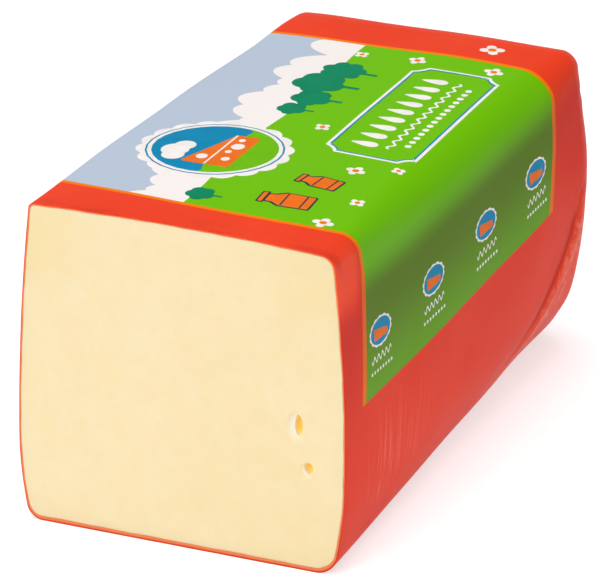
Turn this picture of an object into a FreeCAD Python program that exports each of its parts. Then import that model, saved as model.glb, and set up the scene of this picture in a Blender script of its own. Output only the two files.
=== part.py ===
# Edam cheese block: part of a loaf cheese, cut square at the front and still in its red film.
#
# Frame: millimetres, +Z up, +Y from the cut face to the wrapped end, +X across the loaf.
# The origin lies under the middle of the block, on the surface that it rests on.
#
# The loaf is a loft between two outlines, one at the cut and one at the wrapped end, rounded
# off round the wrapped end. Each outline has a flat base, two bulging sides, a slightly crowned
# top and four round corners. The cheese is the same loft with the film's thickness taken off,
# so the two pieces meet face to face, and two small eyes open in its cut face. The ground trims
# the film flat where the block has settled.

import FreeCAD, Part
import math
import os
import Sketcher
from dataclasses import dataclass, replace

HALF = 0.5
# How near a coordinate must be to the end of the block to count as lying on it.
TOUCH = 0.01
# A sketch's numbers for the points of an edge, and for its own origin.
START, FINISH, CENTRE = 1, 2, 3
ORIGIN = -1

# Alias of the cell, value in millimetres, what it measures.
SIZES = (
    ("block_length", 193.0, "cut face to wrapped end"),
    ("cut_left_base", 51.4, "cut outline: middle to left base corner"),
    ("cut_left_top", 47.0, "cut outline: middle to left top corner"),
    ("cut_right_base", 49.6, "cut outline: middle to right base corner"),
    ("cut_right_top", 48.0, "cut outline: middle to right top corner"),
    ("cut_left_rise", 100.8, "cut outline: height of left top corner"),
    ("cut_right_rise", 99.3, "cut outline: height of right top corner"),
    ("cut_left_bulge", 2.2, "cut outline: how far the left side stands out of its chord"),
    ("cut_right_bulge", 3.1, "cut outline: how far the right side stands out of its chord"),
    ("cut_crown", 1.1, "cut outline: how far the top stands out of its chord"),
    ("cut_top_corner", 5.0, "cut outline: radius of the top corners"),
    ("cut_base_corner", 8.0, "cut outline: radius of the base corners"),
    ("end_left_base", 52.0, "wrapped end: middle to left base corner"),
    ("end_left_top", 41.0, "wrapped end: middle to left top corner"),
    ("end_right_base", 48.0, "wrapped end: middle to right base corner"),
    ("end_right_top", 53.2, "wrapped end: middle to right top corner"),
    ("end_left_rise", 99.4, "wrapped end: height of left top corner"),
    ("end_right_rise", 99.6, "wrapped end: height of right top corner"),
    ("end_left_bulge", 9.4, "wrapped end: how far the left side stands out of its chord"),
    ("end_right_bulge", 7.0, "wrapped end: how far the right side stands out of its chord"),
    ("end_crown", 1.0, "wrapped end: how far the top stands out of its chord"),
    ("end_top_corner", 10.0, "wrapped end: radius of the top corners"),
    ("end_base_corner", 16.0, "wrapped end: radius of the base corners"),
    ("end_round", 9.0, "radius round the rim of the wrapped end"),
    ("settle", 0.4, "how far the base has flattened under the block's own weight"),
    ("film_side", 0.6, "film on the sides and round the corners"),
    ("film_top", 0.6, "film on the top"),
    ("film_base", 1.4, "film under the block, where it is folded double"),
    ("film_end", 0.9, "film on the wrapped end"),
    ("eye_large_across", 5.0, "large eye: width in the cut face"),
    ("eye_large_tall", 8.2, "large eye: height in the cut face"),
    ("eye_large_deep", 3.4, "large eye: depth behind the cut face"),
    ("eye_large_side", 36.4, "large eye: middle of the block to its centre"),
    ("eye_large_up", 45.1, "large eye: height of its centre"),
    ("eye_small_across", 4.4, "small eye: width in the cut face"),
    ("eye_small_tall", 4.4, "small eye: height in the cut face"),
    ("eye_small_deep", 3.0, "small eye: depth behind the cut face"),
    ("eye_small_side", 40.1, "small eye: middle of the block to its centre"),
    ("eye_small_up", 32.5, "small eye: height of its centre"),
)


@dataclass(frozen=True)
class Outline:
    """One cross-section: sharp corner places, bulges and corner radii, as sheet expressions."""

    left_base: str
    left_top: str
    right_base: str
    right_top: str
    floor: str
    left_rise: str
    right_rise: str
    left_bulge: str
    right_bulge: str
    crown: str
    top_corner: str
    base_corner: str


def film_outline(end):
    """Outline of the film's outer face at one end of the block, "cut" or "end"."""
    cell = f"Sizes.{end}_"
    return Outline(
        left_base=cell + "left_base",
        left_top=cell + "left_top",
        right_base=cell + "right_base",
        right_top=cell + "right_top",
        floor="-Sizes.settle",
        left_rise=cell + "left_rise",
        right_rise=cell + "right_rise",
        left_bulge=cell + "left_bulge",
        right_bulge=cell + "right_bulge",
        crown=cell + "crown",
        top_corner=cell + "top_corner",
        base_corner=cell + "base_corner",
    )


def cheese_outline(end):
    """Outline of the cheese: the film's outline with the film's thickness taken off."""
    film = film_outline(end)
    return replace(
        film,
        left_base=film.left_base + " - Sizes.film_side",
        left_top=film.left_top + " - Sizes.film_side",
        right_base=film.right_base + " - Sizes.film_side",
        right_top=film.right_top + " - Sizes.film_side",
        floor="Sizes.film_base",
        left_rise=film.left_rise + " - Sizes.film_top",
        right_rise=film.right_rise + " - Sizes.film_top",
        top_corner=film.top_corner + " - Sizes.film_side",
        base_corner=film.base_corner + " - Sizes.film_side",
    )


@dataclass(frozen=True)
class Side:
    """A bulging side of an outline: the circle that it lies on."""

    centre: FreeCAD.Vector
    radius: float

    def towards(self, point):
        """Point of the circle that lies in the direction of a point."""
        return self.centre + (point - self.centre).normalize() * self.radius

    def edge(self, first, last):
        """Arc of the circle from first to last, the short way round."""
        middle = self.towards((first + last) * HALF)
        return Part.Arc(first, middle, last)


def bulging_side(first, last, bulge):
    """Side through two corners that stands out of their chord by bulge, to its right."""
    chord = last - first
    radius = chord.Length ** 2 / (8 * bulge) + bulge / 2
    outward = FreeCAD.Vector(chord.y, -chord.x, 0).normalize()
    return Side((first + last) * HALF - outward * (radius - bulge), radius)


def corner_on_base(side, radius, floor, near):
    """Corner that touches a side and the flat base from inside: its circle."""
    height = floor + radius
    reach = math.sqrt((side.radius - radius) ** 2 - (height - side.centre.y) ** 2)
    places = [FreeCAD.Vector(side.centre.x + sign * reach, height, 0) for sign in (1, -1)]
    return Side(min(places, key=near.distanceToPoint), radius)


def corner_between(one, other, radius, near):
    """Corner that touches two sides from inside: its circle."""
    first, second = one.radius - radius, other.radius - radius
    step = other.centre - one.centre
    along = (first ** 2 - second ** 2 + step.Length ** 2) / (2 * step.Length)
    across = math.sqrt(first ** 2 - along ** 2)
    unit = FreeCAD.Vector(step).normalize()
    normal = FreeCAD.Vector(-unit.y, unit.x, 0)
    places = [one.centre + unit * along + normal * (sign * across) for sign in (1, -1)]
    return Side(min(places, key=near.distanceToPoint), radius)


def bulge_radius(across, up, bulge):
    """Expression for the radius of a side whose chord spans across and up, with that bulge."""
    return f"(({across})^2 + ({up})^2) / (8 * ({bulge})) + ({bulge}) / 2"


class OutlineSketch:
    """Sketch of one outline across the block, its sizes tied to the sheet.

    Construction lines join the sharp corners. The outline itself lies on them, with a round
    corner tangent to its neighbours at each joint.
    """

    def __init__(self, body, name, outline, station):
        """Draw the outline on the body's XZ plane, at the distance station along +Y."""
        self.sketch = body.newObject("Sketcher::SketchObject", name)
        self.outline = outline
        plane = next(item for item in body.Origin.OriginFeatures if item.Role == "XZ_Plane")
        self.sketch.AttachmentSupport = [(plane, "")]
        self.sketch.MapMode = "FlatFace"
        # The plane's normal points to the front, so the offset along it is minus the station.
        self.sketch.setExpression("AttachmentOffset.Base.z", f"-({station})")
        self.draw_corners()
        self.draw_rounded()

    def value(self, expression):
        """Present value of an expression on the sheet."""
        return float(self.sketch.evalExpression(expression))

    def limit(self, *parts):
        """Add a constraint without a size."""
        return self.sketch.addConstraint(Sketcher.Constraint(*parts))

    def measure(self, label, expression, *parts):
        """Add a constraint whose size follows an expression on the sheet."""
        index = self.limit(*parts, self.value(expression))
        self.sketch.renameConstraint(index, label)
        self.sketch.setExpression(f"Constraints.{label}", expression)

    def draw_corners(self):
        """Draw the construction lines between the sharp corners and hold them in place."""
        shape = self.outline
        floor = self.value(shape.floor)
        self.base_left = FreeCAD.Vector(-self.value(shape.left_base), floor, 0)
        self.base_right = FreeCAD.Vector(self.value(shape.right_base), floor, 0)
        self.top_right = FreeCAD.Vector(self.value(shape.right_top), self.value(shape.right_rise), 0)
        self.top_left = FreeCAD.Vector(-self.value(shape.left_top), self.value(shape.left_rise), 0)

        self.right = bulging_side(self.base_right, self.top_right, self.value(shape.right_bulge))
        self.top = bulging_side(self.top_right, self.top_left, self.value(shape.crown))
        self.left = bulging_side(self.top_left, self.base_left, self.value(shape.left_bulge))

        add = self.sketch.addGeometry
        base = add(Part.LineSegment(self.base_left, self.base_right), True)
        right = add(self.right.edge(self.base_right, self.top_right), True)
        top = add(self.top.edge(self.top_right, self.top_left), True)
        left = add(self.left.edge(self.top_left, self.base_left), True)
        self.guides = (base, right, top, left)

        for before, after in ((base, right), (right, top), (top, left), (left, base)):
            self.limit("Coincident", before, FINISH, after, START)
        self.limit("Horizontal", base)

        self.measure("left_base", f"-({shape.left_base})", "DistanceX", ORIGIN, START, base, START)
        self.measure("right_base", shape.right_base, "DistanceX", ORIGIN, START, base, FINISH)
        self.measure("right_top", shape.right_top, "DistanceX", ORIGIN, START, right, FINISH)
        self.measure("left_top", f"-({shape.left_top})", "DistanceX", ORIGIN, START, top, FINISH)
        self.measure("right_rise", shape.right_rise, "DistanceY", ORIGIN, START, right, FINISH)
        self.measure("left_rise", shape.left_rise, "DistanceY", ORIGIN, START, top, FINISH)
        self.measure("floor", shape.floor, "DistanceY", ORIGIN, START, base, START)

        right_span = f"{shape.right_base} - ({shape.right_top})"
        left_span = f"{shape.left_base} - ({shape.left_top})"
        top_span = f"{shape.right_top} + {shape.left_top}"
        right_height = f"{shape.right_rise} - ({shape.floor})"
        left_height = f"{shape.left_rise} - ({shape.floor})"
        slope = f"{shape.right_rise} - ({shape.left_rise})"
        self.measure("right_radius", bulge_radius(right_span, right_height, shape.right_bulge),
                     "Radius", right)
        self.measure("top_radius", bulge_radius(top_span, slope, shape.crown), "Radius", top)
        self.measure("left_radius", bulge_radius(left_span, left_height, shape.left_bulge),
                     "Radius", left)

    def draw_rounded(self):
        """Draw the outline on the construction lines, with its four round corners."""
        shape = self.outline
        floor = self.value(shape.floor)
        top_corner = self.value(shape.top_corner)
        base_corner = self.value(shape.base_corner)
        down = FreeCAD.Vector(0, -base_corner, 0)

        low_right = corner_on_base(self.right, base_corner, floor, self.base_right)
        low_left = corner_on_base(self.left, base_corner, floor, self.base_left)
        high_right = corner_between(self.right, self.top, top_corner, self.top_right)
        high_left = corner_between(self.top, self.left, top_corner, self.top_left)

        # The joints of the outline, anticlockwise from the left end of the base.
        joints = (
            low_left.centre + down,
            low_right.centre + down,
            self.right.towards(low_right.centre),
            self.right.towards(high_right.centre),
            self.top.towards(high_right.centre),
            self.top.towards(high_left.centre),
            self.left.towards(high_left.centre),
            self.left.towards(low_left.centre),
        )
        lines = (None, low_right, self.right, high_right, self.top, high_left, self.left, low_left)
        edges = []
        for place, line in enumerate(lines):
            first, last = joints[place], joints[(place + 1) % len(joints)]
            edge = line.edge(first, last) if line else Part.LineSegment(first, last)
            edges.append(self.sketch.addGeometry(edge, False))

        for before, after in zip(edges, edges[1:] + edges[:1]):
            self.limit("Tangent", before, FINISH, after, START)
        base, low_right, right, high_right, top, high_left, left, low_left = edges
        guide_base, *guide_sides = self.guides
        self.limit("Horizontal", base)
        self.limit("PointOnObject", base, START, guide_base)
        for edge, guide in zip((right, top, left), guide_sides):
            self.limit("Coincident", edge, CENTRE, guide, CENTRE)
            self.limit("Equal", edge, guide)
        self.measure("low_right_corner", shape.base_corner, "Radius", low_right)
        self.measure("low_left_corner", shape.base_corner, "Radius", low_left)
        self.measure("high_right_corner", shape.top_corner, "Radius", high_right)
        self.measure("high_left_corner", shape.top_corner, "Radius", high_left)


def make_sheet(doc):
    """Write the sizes into a spreadsheet, one aliased cell each, with a note beside it."""
    sheet = doc.addObject("Spreadsheet::Sheet", "Sizes")
    for row, (alias, value, note) in enumerate(SIZES, start=1):
        sheet.set(f"A{row}", note)
        sheet.set(f"B{row}", str(value))
        sheet.setAlias(f"B{row}", alias)
    doc.recompute()


def make_loaf(doc, name, outline_at, wrapped_end, end_round):
    """Build a loaf-shaped body between the cut and a wrapped end.

    outline_at gives the outline for "cut" and for "end". wrapped_end and end_round are
    expressions for the place of the wrapped end and for the radius round its rim.
    """
    body = doc.addObject("PartDesign::Body", name)
    cut = OutlineSketch(body, name + "_cut", outline_at("cut"), "-Sizes.block_length / 2")
    end = OutlineSketch(body, name + "_end", outline_at("end"), wrapped_end)
    doc.recompute()

    loft = body.newObject("PartDesign::AdditiveLoft", name + "_loft")
    # From the wrapped end to the front, the way that the sketches' normals point.
    loft.Profile = end.sketch
    loft.Sections = [cut.sketch]
    loft.Ruled = True
    doc.recompute()

    far = loft.Shape.BoundBox.YMax
    rim = [f"Edge{number}" for number, edge in enumerate(loft.Shape.Edges, start=1)
           if edge.BoundBox.YMin > far - TOUCH]
    fillet = body.newObject("PartDesign::Fillet", name + "_rim")
    fillet.Base = (loft, rim)
    fillet.setExpression("Radius", end_round)
    doc.recompute()
    return body


def make_eye(doc, size):
    """Build an egg-shaped gas hole whose middle lies in the cut face, "large" or "small"."""
    cell = f"Sizes.eye_{size}_"
    eye = doc.addObject("Part::Ellipsoid", f"eye_{size}")
    eye.setExpression("Radius1", cell + "tall / 2")
    eye.setExpression("Radius2", cell + "across / 2")
    eye.setExpression("Radius3", cell + "deep")
    eye.setExpression("Placement.Base.x", cell + "side")
    eye.setExpression("Placement.Base.y", "-Sizes.block_length / 2")
    eye.setExpression("Placement.Base.z", cell + "up")
    return eye


def make_ground(doc):
    """Build the surface that the block has settled on, wider and longer than the block."""
    ground = doc.addObject("Part::Box", "ground")
    ground.setExpression("Length", "4 * Sizes.cut_left_base")
    ground.setExpression("Width", "2 * Sizes.block_length")
    ground.setExpression("Height", "10 * Sizes.settle")
    ground.setExpression("Placement.Base.x", "-2 * Sizes.cut_left_base")
    ground.setExpression("Placement.Base.y", "-Sizes.block_length")
    ground.setExpression("Placement.Base.z", "-10 * Sizes.settle")
    return ground


def cut_away(doc, name, base, tools):
    """Take one or more solids out of another and give the result the sub-part's name."""
    for number, tool in enumerate(tools, start=1):
        step = name if number == len(tools) else f"{name}_step_{number}"
        cut = doc.addObject("Part::Cut", step)
        cut.Base = base
        cut.Tool = tool
        cut.Label = step
        base = cut
    return base


def check(doc, subparts):
    """Stop if any object of the document failed or a sub-part isn't one sound solid."""
    for item in doc.Objects:
        if "Invalid" in item.State or "Error" in item.State:
            raise RuntimeError(f"{item.Label} failed: {item.State}")
    for item in subparts:
        if item.Shape.isNull() or not item.Shape.isValid():
            raise RuntimeError(f"{item.Label} has no sound shape")
        if len(item.Shape.Solids) != 1:
            raise RuntimeError(f"{item.Label} has {len(item.Shape.Solids)} solids")


def main():
    """Build the cheese and its film, check them and write one STEP file for each."""
    doc = FreeCAD.newDocument("edam_cheese_block")
    make_sheet(doc)

    film_envelope = make_loaf(
        doc, "film_envelope", film_outline, "Sizes.block_length / 2", "Sizes.end_round")
    loaf = make_loaf(
        doc, "loaf", cheese_outline, "Sizes.block_length / 2 - Sizes.film_end",
        "Sizes.end_round - Sizes.film_end")

    cheese = cut_away(doc, "cheese", loaf, [make_eye(doc, "large"), make_eye(doc, "small")])
    film = cut_away(doc, "red_film", film_envelope, [loaf, make_ground(doc)])
    doc.recompute()

    subparts = (cheese, film)
    check(doc, subparts)
    os.makedirs("parts", exist_ok=True)
    for item in subparts:
        box = item.Shape.BoundBox
        item.Shape.exportStep(f"parts/{item.Label}.step")
        print(f"{item.Label}: {item.Shape.Volume / 1000:.1f} cm3, "
              f"{box.XLength:.1f} x {box.YLength:.1f} x {box.ZLength:.1f} mm")


main()
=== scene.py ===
"""A block of edam cheese in printed red shrink film, cut at one end, on a pale studio floor.

The tables below are in millimetres and degrees unless they say otherwise, and the meshes are in
metres. The block stands on z = 0 with its width along x. Its cut face looks towards -y, and
`depth` counts from that face. `girth` counts round the film from the middle of the top, positive
down the right side. HANDLE is how far the handles of a round corner stand out, as a share of its
radius, and CORNER_LIMIT is the largest share of a side that one corner takes.
"""

import logging
import math
from dataclasses import astuple, dataclass, field
from enum import Enum
from typing import Optional, Sequence, Union

import bpy
import numpy as np
from mathutils import Matrix, Vector


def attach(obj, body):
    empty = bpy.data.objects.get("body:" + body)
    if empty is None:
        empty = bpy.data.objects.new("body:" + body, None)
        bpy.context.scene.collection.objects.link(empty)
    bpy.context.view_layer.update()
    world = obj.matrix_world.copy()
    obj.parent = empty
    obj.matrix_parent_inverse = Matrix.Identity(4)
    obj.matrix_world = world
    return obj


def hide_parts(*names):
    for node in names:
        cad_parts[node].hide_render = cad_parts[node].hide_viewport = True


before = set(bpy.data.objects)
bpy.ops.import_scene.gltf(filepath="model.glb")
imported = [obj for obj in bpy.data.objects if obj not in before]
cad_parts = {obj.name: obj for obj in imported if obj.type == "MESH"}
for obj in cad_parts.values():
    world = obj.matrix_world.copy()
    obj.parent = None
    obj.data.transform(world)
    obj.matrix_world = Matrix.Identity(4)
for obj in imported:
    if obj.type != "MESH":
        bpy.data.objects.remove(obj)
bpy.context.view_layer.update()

Socket = bpy.types.NodeSocket
Thing = bpy.types.Object
LOG = logging.getLogger("cheese_block")
MM = 0.001
WHITE = (1.0, 1.0, 1.0, 1.0)
PRINT_MAP = "Print"
RIM_FADE = "rim_fade"
# Masks stored on the film for the painted shade along its creases and the painted sheen beside
# them.
CREASE_SHADE = "crease_shade"
FACET_SHEEN = "facet_sheen"
HANDLE = 0.5523
CORNER_LIMIT = 0.45


# ---- Form of the loaf ----


@dataclass(frozen=True)
class Table:
    """A row of numbers that can be blended with another row of the same kind."""

    def toward(self, other: "Table", share: float) -> "Table":
        """The row that lies `share` of the way from this one to the other."""
        pairs = zip(astuple(self), astuple(other))
        return type(self)(*(a + (b - a) * share for a, b in pairs))


@dataclass(frozen=True)
class Section(Table):
    """A cross-section with its corners still sharp: half widths, rises and bulges of the sides."""

    base_left: float
    base_right: float
    top_right: float
    top_left: float
    rise_right: float
    rise_left: float
    bulge_right: float
    bulge_top: float
    bulge_left: float
    foot_right: float
    foot_left: float


@dataclass(frozen=True)
class Corners(Table):
    """Radii of the four long edges of the loaf at one place."""

    base_right: float
    top_right: float
    top_left: float
    base_left: float


@dataclass(frozen=True)
class Coat(Table):
    """How far a surface lies inside the outside of the film."""

    side: float = 0.0
    top: float = 0.0
    base: float = 0.0
    end: float = 0.0


@dataclass(frozen=True)
class Crease:
    """A fold line of the film on the right side, through (depth, height) points."""

    points: tuple
    sink: float
    half_width: float
    ridge: float
    fade: float


def ease(x: np.ndarray) -> np.ndarray:
    """A smooth step from 0 to 1 over the range 0 to 1."""
    x = np.clip(x, 0.0, 1.0)
    return x * x * (3.0 - 2.0 * x)


def ramp(x: np.ndarray, low: float, high: float) -> np.ndarray:
    """A smooth step from 0 at low to 1 at high, which may be the smaller of the two."""
    return ease((x - low) / (high - low))


@dataclass(frozen=True)
class LoafForm:
    """The outside of the wrapped loaf, from the cut to the wrapped end."""

    length: float = 193.0
    cut: Section = Section(49.4, 47.7, 48.0, 46.9, 99.3, 100.8, 2.5, 1.2, 1.8, 2.3, 2.7)
    wrapped: Section = Section(48.1, 39.2, 54.5, 39.6, 99.9, 99.7, 7.9, 0.7, 9.5, 9.0, 3.0)
    foot_share: float = 0.28
    growth: float = 1.55
    corners_cut: Corners = Corners(5.5, 3.9, 1.5, 4.1)
    corners_mid: Corners = Corners(7.3, 9.9, 1.6, 6.0)
    corners_end: Corners = Corners(9.1, 5.3, 2.4, 14.0)
    shoulder: float = 60.0
    end_from: float = 152.0
    end_to: float = 182.0
    end_round: float = 16.0
    end_lean: float = -0.4
    lean_rise: float = 1.9
    base_points: int = 28
    right_points: int = 84
    top_points: int = 52
    left_points: int = 48
    corner_points: int = 15
    least_radius: float = 1.2
    creases: tuple = (
        Crease(
            ((175.5, 51), (173, 47.3), (170.5, 41.6), (165.5, 35.6), (157.5, 28), (149.5, 21),
             (138, 15.6), (126, 12.5), (112, 11)),
            0.7, 1.7, 0.45, 50.0,
        ),
        Crease(((181, 60), (176.5, 54.5), (173.5, 49.5)), 0.4, 1.2, 0.25, 7.0),
        Crease(((187, 88), (181, 86), (175, 85)), 0.3, 1.6, 0.2, 8.0),
    )

    def section_at(self, depth: float) -> Section:
        """The sharp section at a depth from the cut."""
        return self.cut.toward(self.wrapped, (max(depth, 0.0) / self.length) ** self.growth)

    def corners_at(self, depth: float) -> Corners:
        """The corner radii at a depth from the cut."""
        if depth < self.shoulder:
            share = float(ramp(depth, 0.0, self.shoulder))
            return self.corners_cut.toward(self.corners_mid, share)
        share = float(ramp(depth, self.end_from, self.end_to))
        return self.corners_mid.toward(self.corners_end, share)

    def swell(self, t: np.ndarray, bulge: float, foot: float, down: bool) -> np.ndarray:
        """How far a side stands out from the straight line between its corners.

        Args:
            t: Places along the side, from 0 to 1.
            bulge: How far the middle of the side stands out.
            foot: How far the side draws in at its foot.
            down: Whether the side is walked from its top to its foot.

        Returns:
            The distance at each place.
        """
        up = 1.0 - t if down else t
        above = np.sin(np.clip(up / self.foot_share, 0.0, 1.0) * math.pi / 2)
        return 4.0 * bulge * t * (1.0 - t) + foot * (1.0 - up) * above

    def outline(self, depth: float, coat: Coat = Coat()) -> np.ndarray:
        """The closed outline at a depth, as (x, z) rows.

        Args:
            depth: Distance from the cut.
            coat: How far the outline lies inside the film.

        Returns:
            Points from the middle of the base, up the right side and over to the left.
        """
        s = self.section_at(depth)
        corners = [
            np.array([s.base_right - coat.side, coat.base]),
            np.array([s.top_right - coat.side, s.rise_right - coat.top]),
            np.array([-s.top_left + coat.side, s.rise_left - coat.top]),
            np.array([-s.base_left + coat.side, coat.base]),
        ]
        inset = min(coat.side, coat.top)
        radii = [max(r - inset, self.least_radius) for r in astuple(self.corners_at(depth))]
        bulges = [s.bulge_right, s.bulge_top, s.bulge_left, 0.0]
        feet = [s.foot_right, 0.0, s.foot_left, 0.0]
        counts = [self.right_points, self.top_points, self.left_points, self.base_points]
        sides = []
        nudge = 1e-4
        for k in range(4):
            start, end = corners[k], corners[(k + 1) % 4]
            run = end - start
            length = float(np.hypot(*run))
            out = np.array([run[1], -run[0]]) / length
            first, last = (min(radii[corner % 4] / length, CORNER_LIMIT) for corner in (k, k + 1))
            t = np.linspace(first, 1.0 - last, counts[k])[:, None]
            before, there, after = (self.swell(t + shift, bulges[k], feet[k], k == 2)
                                    for shift in (-nudge, 0.0, nudge))
            lead = run + out * ((after - before) / (2 * nudge))[[0, -1]]
            sides.append((start + run * t + out * there,
                          lead / np.hypot(lead[:, 0], lead[:, 1])[:, None]))
        parts = []
        for k in range(4):
            line, lead = sides[k]
            following, next_lead = sides[(k + 1) % 4]
            reach = HANDLE * radii[(k + 1) % 4]
            a, d = line[-1], following[0]
            b, c = a + lead[1] * reach, d - next_lead[0] * reach
            t = np.linspace(0.0, 1.0, self.corner_points + 2)[1:-1, None]
            bend = (1 - t) ** 3 * a + 3 * (1 - t) ** 2 * t * b + 3 * (1 - t) * t**2 * c + t**3 * d
            parts += [line, bend]
        points = np.concatenate(parts)
        half_base = self.base_points // 2
        return np.roll(points, half_base + self.corner_points, axis=0)

    @property
    def around(self) -> int:
        """How many points an outline has."""
        sides = self.base_points + self.right_points + self.top_points + self.left_points
        return sides + 4 * self.corner_points

    def wall(self, depths: Sequence[float], coat: Coat = Coat()) -> np.ndarray:
        """Outlines at several depths as (ring, point, xyz), with y counted from the cut."""
        rings = []
        for depth in depths:
            flat = self.outline(depth, coat)
            rings.append(np.column_stack([flat[:, 0], np.full(len(flat), depth), flat[:, 1]]))
        return np.array(rings)

    def end(self, steps: int, cap: int, coat: Coat = Coat()) -> np.ndarray:
        """The rounding of the wrapped end and its flat, up to just before the middle.

        Args:
            steps: Rings over the rounding.
            cap: Rings over the flat of the end.
            coat: How far the surface lies inside the film.

        Returns:
            Rings as (ring, point, xyz), from the side to near the middle of the end.
        """
        start = self.length - self.end_round
        radius = self.end_round - coat.end
        rings = []
        for angle in np.linspace(0.0, math.pi / 2, steps + 1)[1:]:
            inset = radius * (1.0 - math.cos(angle))
            inner = Coat(coat.side + inset, coat.top + inset, coat.base + inset)
            flat = self.outline(start, inner)
            depth = np.full(len(flat), start + radius * math.sin(angle))
            rings.append(np.column_stack([flat[:, 0], depth, flat[:, 1]]))
        rim = rings[-1]
        middle = rim.mean(axis=0)
        for share in np.linspace(1.0, 0.0, cap + 1)[1:-1]:
            rings.append(middle + (rim - middle) * share)
        rings = np.array(rings)
        late = ease((rings[:, :, 1] - start) / radius)
        height = rings[:, :, 2] / self.length * self.lean_rise
        rings[:, :, 1] += late * self.end_lean * (height - 0.5)
        return rings


class Relief:
    """Small rises and dips that the film takes from the way it shrank on to the loaf."""

    WAVES = (
        ((0.9, 0.35, 0.25), 47.0, 0.3, 0.10),
        ((0.2, 0.95, -0.4), 61.0, 1.9, 0.10),
        ((-0.5, 0.6, 0.7), 34.0, 4.1, 0.07),
        ((0.1, -0.4, 0.95), 27.0, 2.6, 0.05),
    )
    LATE = (120.0, 180.0)
    EARLY_SHARE = 0.6
    LATE_SHARE = 1.4
    RIGHT = (25.0, 37.0)
    DIP_BEFORE = 0.62
    RIDGE_AT = 2.1
    RIDGE_WIDTH = 1.1
    # Where the painted sheen beside a crease rises and fades, in half widths.
    SHEEN_FROM = (0.3, 1.2)
    SHEEN_TO = (11.0, 4.0)
    OFF_CUT = (0.0, 9.0)
    OFF_FLOOR = (0.3, 3.3)
    PUCKERS = ((1, 12, 5, 0.08), (-1, 12, 7, 0.18), (1, 90, 5, 0.08), (-1, 90, 7, 0.14))
    PUCKER_X = 46.0
    PUCKER_DEPTH = 188.0
    PUCKER_FROM = (2.0, 8.0)
    PUCKER_TO = (34.0, 10.0)
    TUCK_HEIGHT = 52.0
    TUCK_REACH = 40.0
    TUCK_SLOPE = 0.95
    TUCK_START = 10.0
    TUCK_FROM = (0.0, 8.0)
    TUCK_TO = (46.0, 34.0)
    # Widths of the painted shade behind and before a crease, in half widths.
    CREASE_SHADE_BEHIND = 0.55
    CREASE_SHADE_BEFORE = 2.6

    def __init__(self, form: LoafForm) -> None:
        """Keeps the form that the relief lies on, with no folds marked yet."""
        self.form = form
        self.crease_shade = np.zeros(0)
        self.facet_sheen = np.zeros(0)

    def at(self, base: np.ndarray) -> np.ndarray:
        """How far each point of the outside rises, in millimetres.

        Args:
            base: Points of the smooth outside as (..., xyz).

        Returns:
            One number for each point, positive outwards.
        """
        x, y, z = base[..., 0], base[..., 1], base[..., 2]
        rise = np.zeros(x.shape)
        self.crease_shade = np.zeros(x.shape)
        self.facet_sheen = np.zeros(x.shape)
        share = self.EARLY_SHARE + self.LATE_SHARE * ramp(y, *self.LATE)
        for direction, length, phase, height in self.WAVES:
            along = base @ np.array(direction) / length
            rise += height * share * np.sin(2 * math.pi * along + phase)
        right = ramp(x, *self.RIGHT)
        for crease in self.form.creases:
            level, across = self.near_crease(crease, y, z)
            level = right * level
            dip = np.exp(-np.where(across > 0, across, across * self.DIP_BEFORE) ** 2)
            ridge = np.exp(-((across - self.RIDGE_AT) / self.RIDGE_WIDTH) ** 2)
            rise += level * (crease.ridge * ridge - crease.sink * dip)
            # Marks where the colour gets painted shade along the crease and a painted sheen beside
            # it.
            marked = level * crease.sink / self.form.creases[0].sink
            width = np.where(across > 0, self.CREASE_SHADE_BEHIND, self.CREASE_SHADE_BEFORE)
            self.crease_shade += marked * np.exp(-((across / width) ** 2))
            self.facet_sheen += marked * ramp(across, *self.SHEEN_FROM) * ramp(across, *self.SHEEN_TO)
        rise += self.corner_puckers(x, y, z) + self.tucks(x, y, z)
        return rise * ramp(y, *self.OFF_CUT) * ramp(z, *self.OFF_FLOOR)

    @staticmethod
    def near_crease(crease: Crease, depth: np.ndarray, height: np.ndarray) -> tuple:
        """Where points lie beside one fold line.

        Args:
            crease: The fold.
            depth: Distance from the cut of each point.
            height: Height of each point.

        Returns:
            How strong the fold is there, and the distance from it in half widths, with a sign.
        """
        path = np.array(crease.points, float)
        best = np.full(depth.shape, 1e9)
        side = np.zeros(depth.shape)
        along = np.zeros(depth.shape)
        lengths = np.hypot(*(path[1:] - path[:-1]).T)
        starts = np.concatenate([[0.0], np.cumsum(lengths)])
        for k, length in enumerate(lengths):
            a, run = path[k], (path[k + 1] - path[k]) / length
            dx, dz = depth - a[0], height - a[1]
            t = np.clip(dx * run[0] + dz * run[1], 0.0, length)
            gap = np.hypot(dx - t * run[0], dz - t * run[1])
            sign = np.sign(run[0] * dz - run[1] * dx)
            nearer = gap < best
            best = np.where(nearer, gap, best)
            side = np.where(nearer, sign, side)
            along = np.where(nearer, starts[k] + t, along)
        total = starts[-1]
        level = ease((total - along) / crease.fade) * ease(along / 9.0 + 0.15)
        return level, best * side / crease.half_width

    @staticmethod
    def corner_puckers(x: np.ndarray, y: np.ndarray, z: np.ndarray) -> np.ndarray:
        """Short folds that run from the corners of the wrapped end."""
        rise = np.zeros(x.shape)
        for side, middle, count, height in Relief.PUCKERS:
            dx, dy, dz = x - side * Relief.PUCKER_X, y - Relief.PUCKER_DEPTH, z - middle
            away = np.sqrt(dx**2 + dy**2 + dz**2)
            angle = np.arctan2(dz, np.where(np.abs(dy) > 1e-6, dy, 1e-6))
            near = ramp(away, *Relief.PUCKER_FROM) * ramp(away, *Relief.PUCKER_TO)
            rise += height * near * np.sin(count * angle + 1.3 * side + 0.02 * middle)
        return rise

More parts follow.
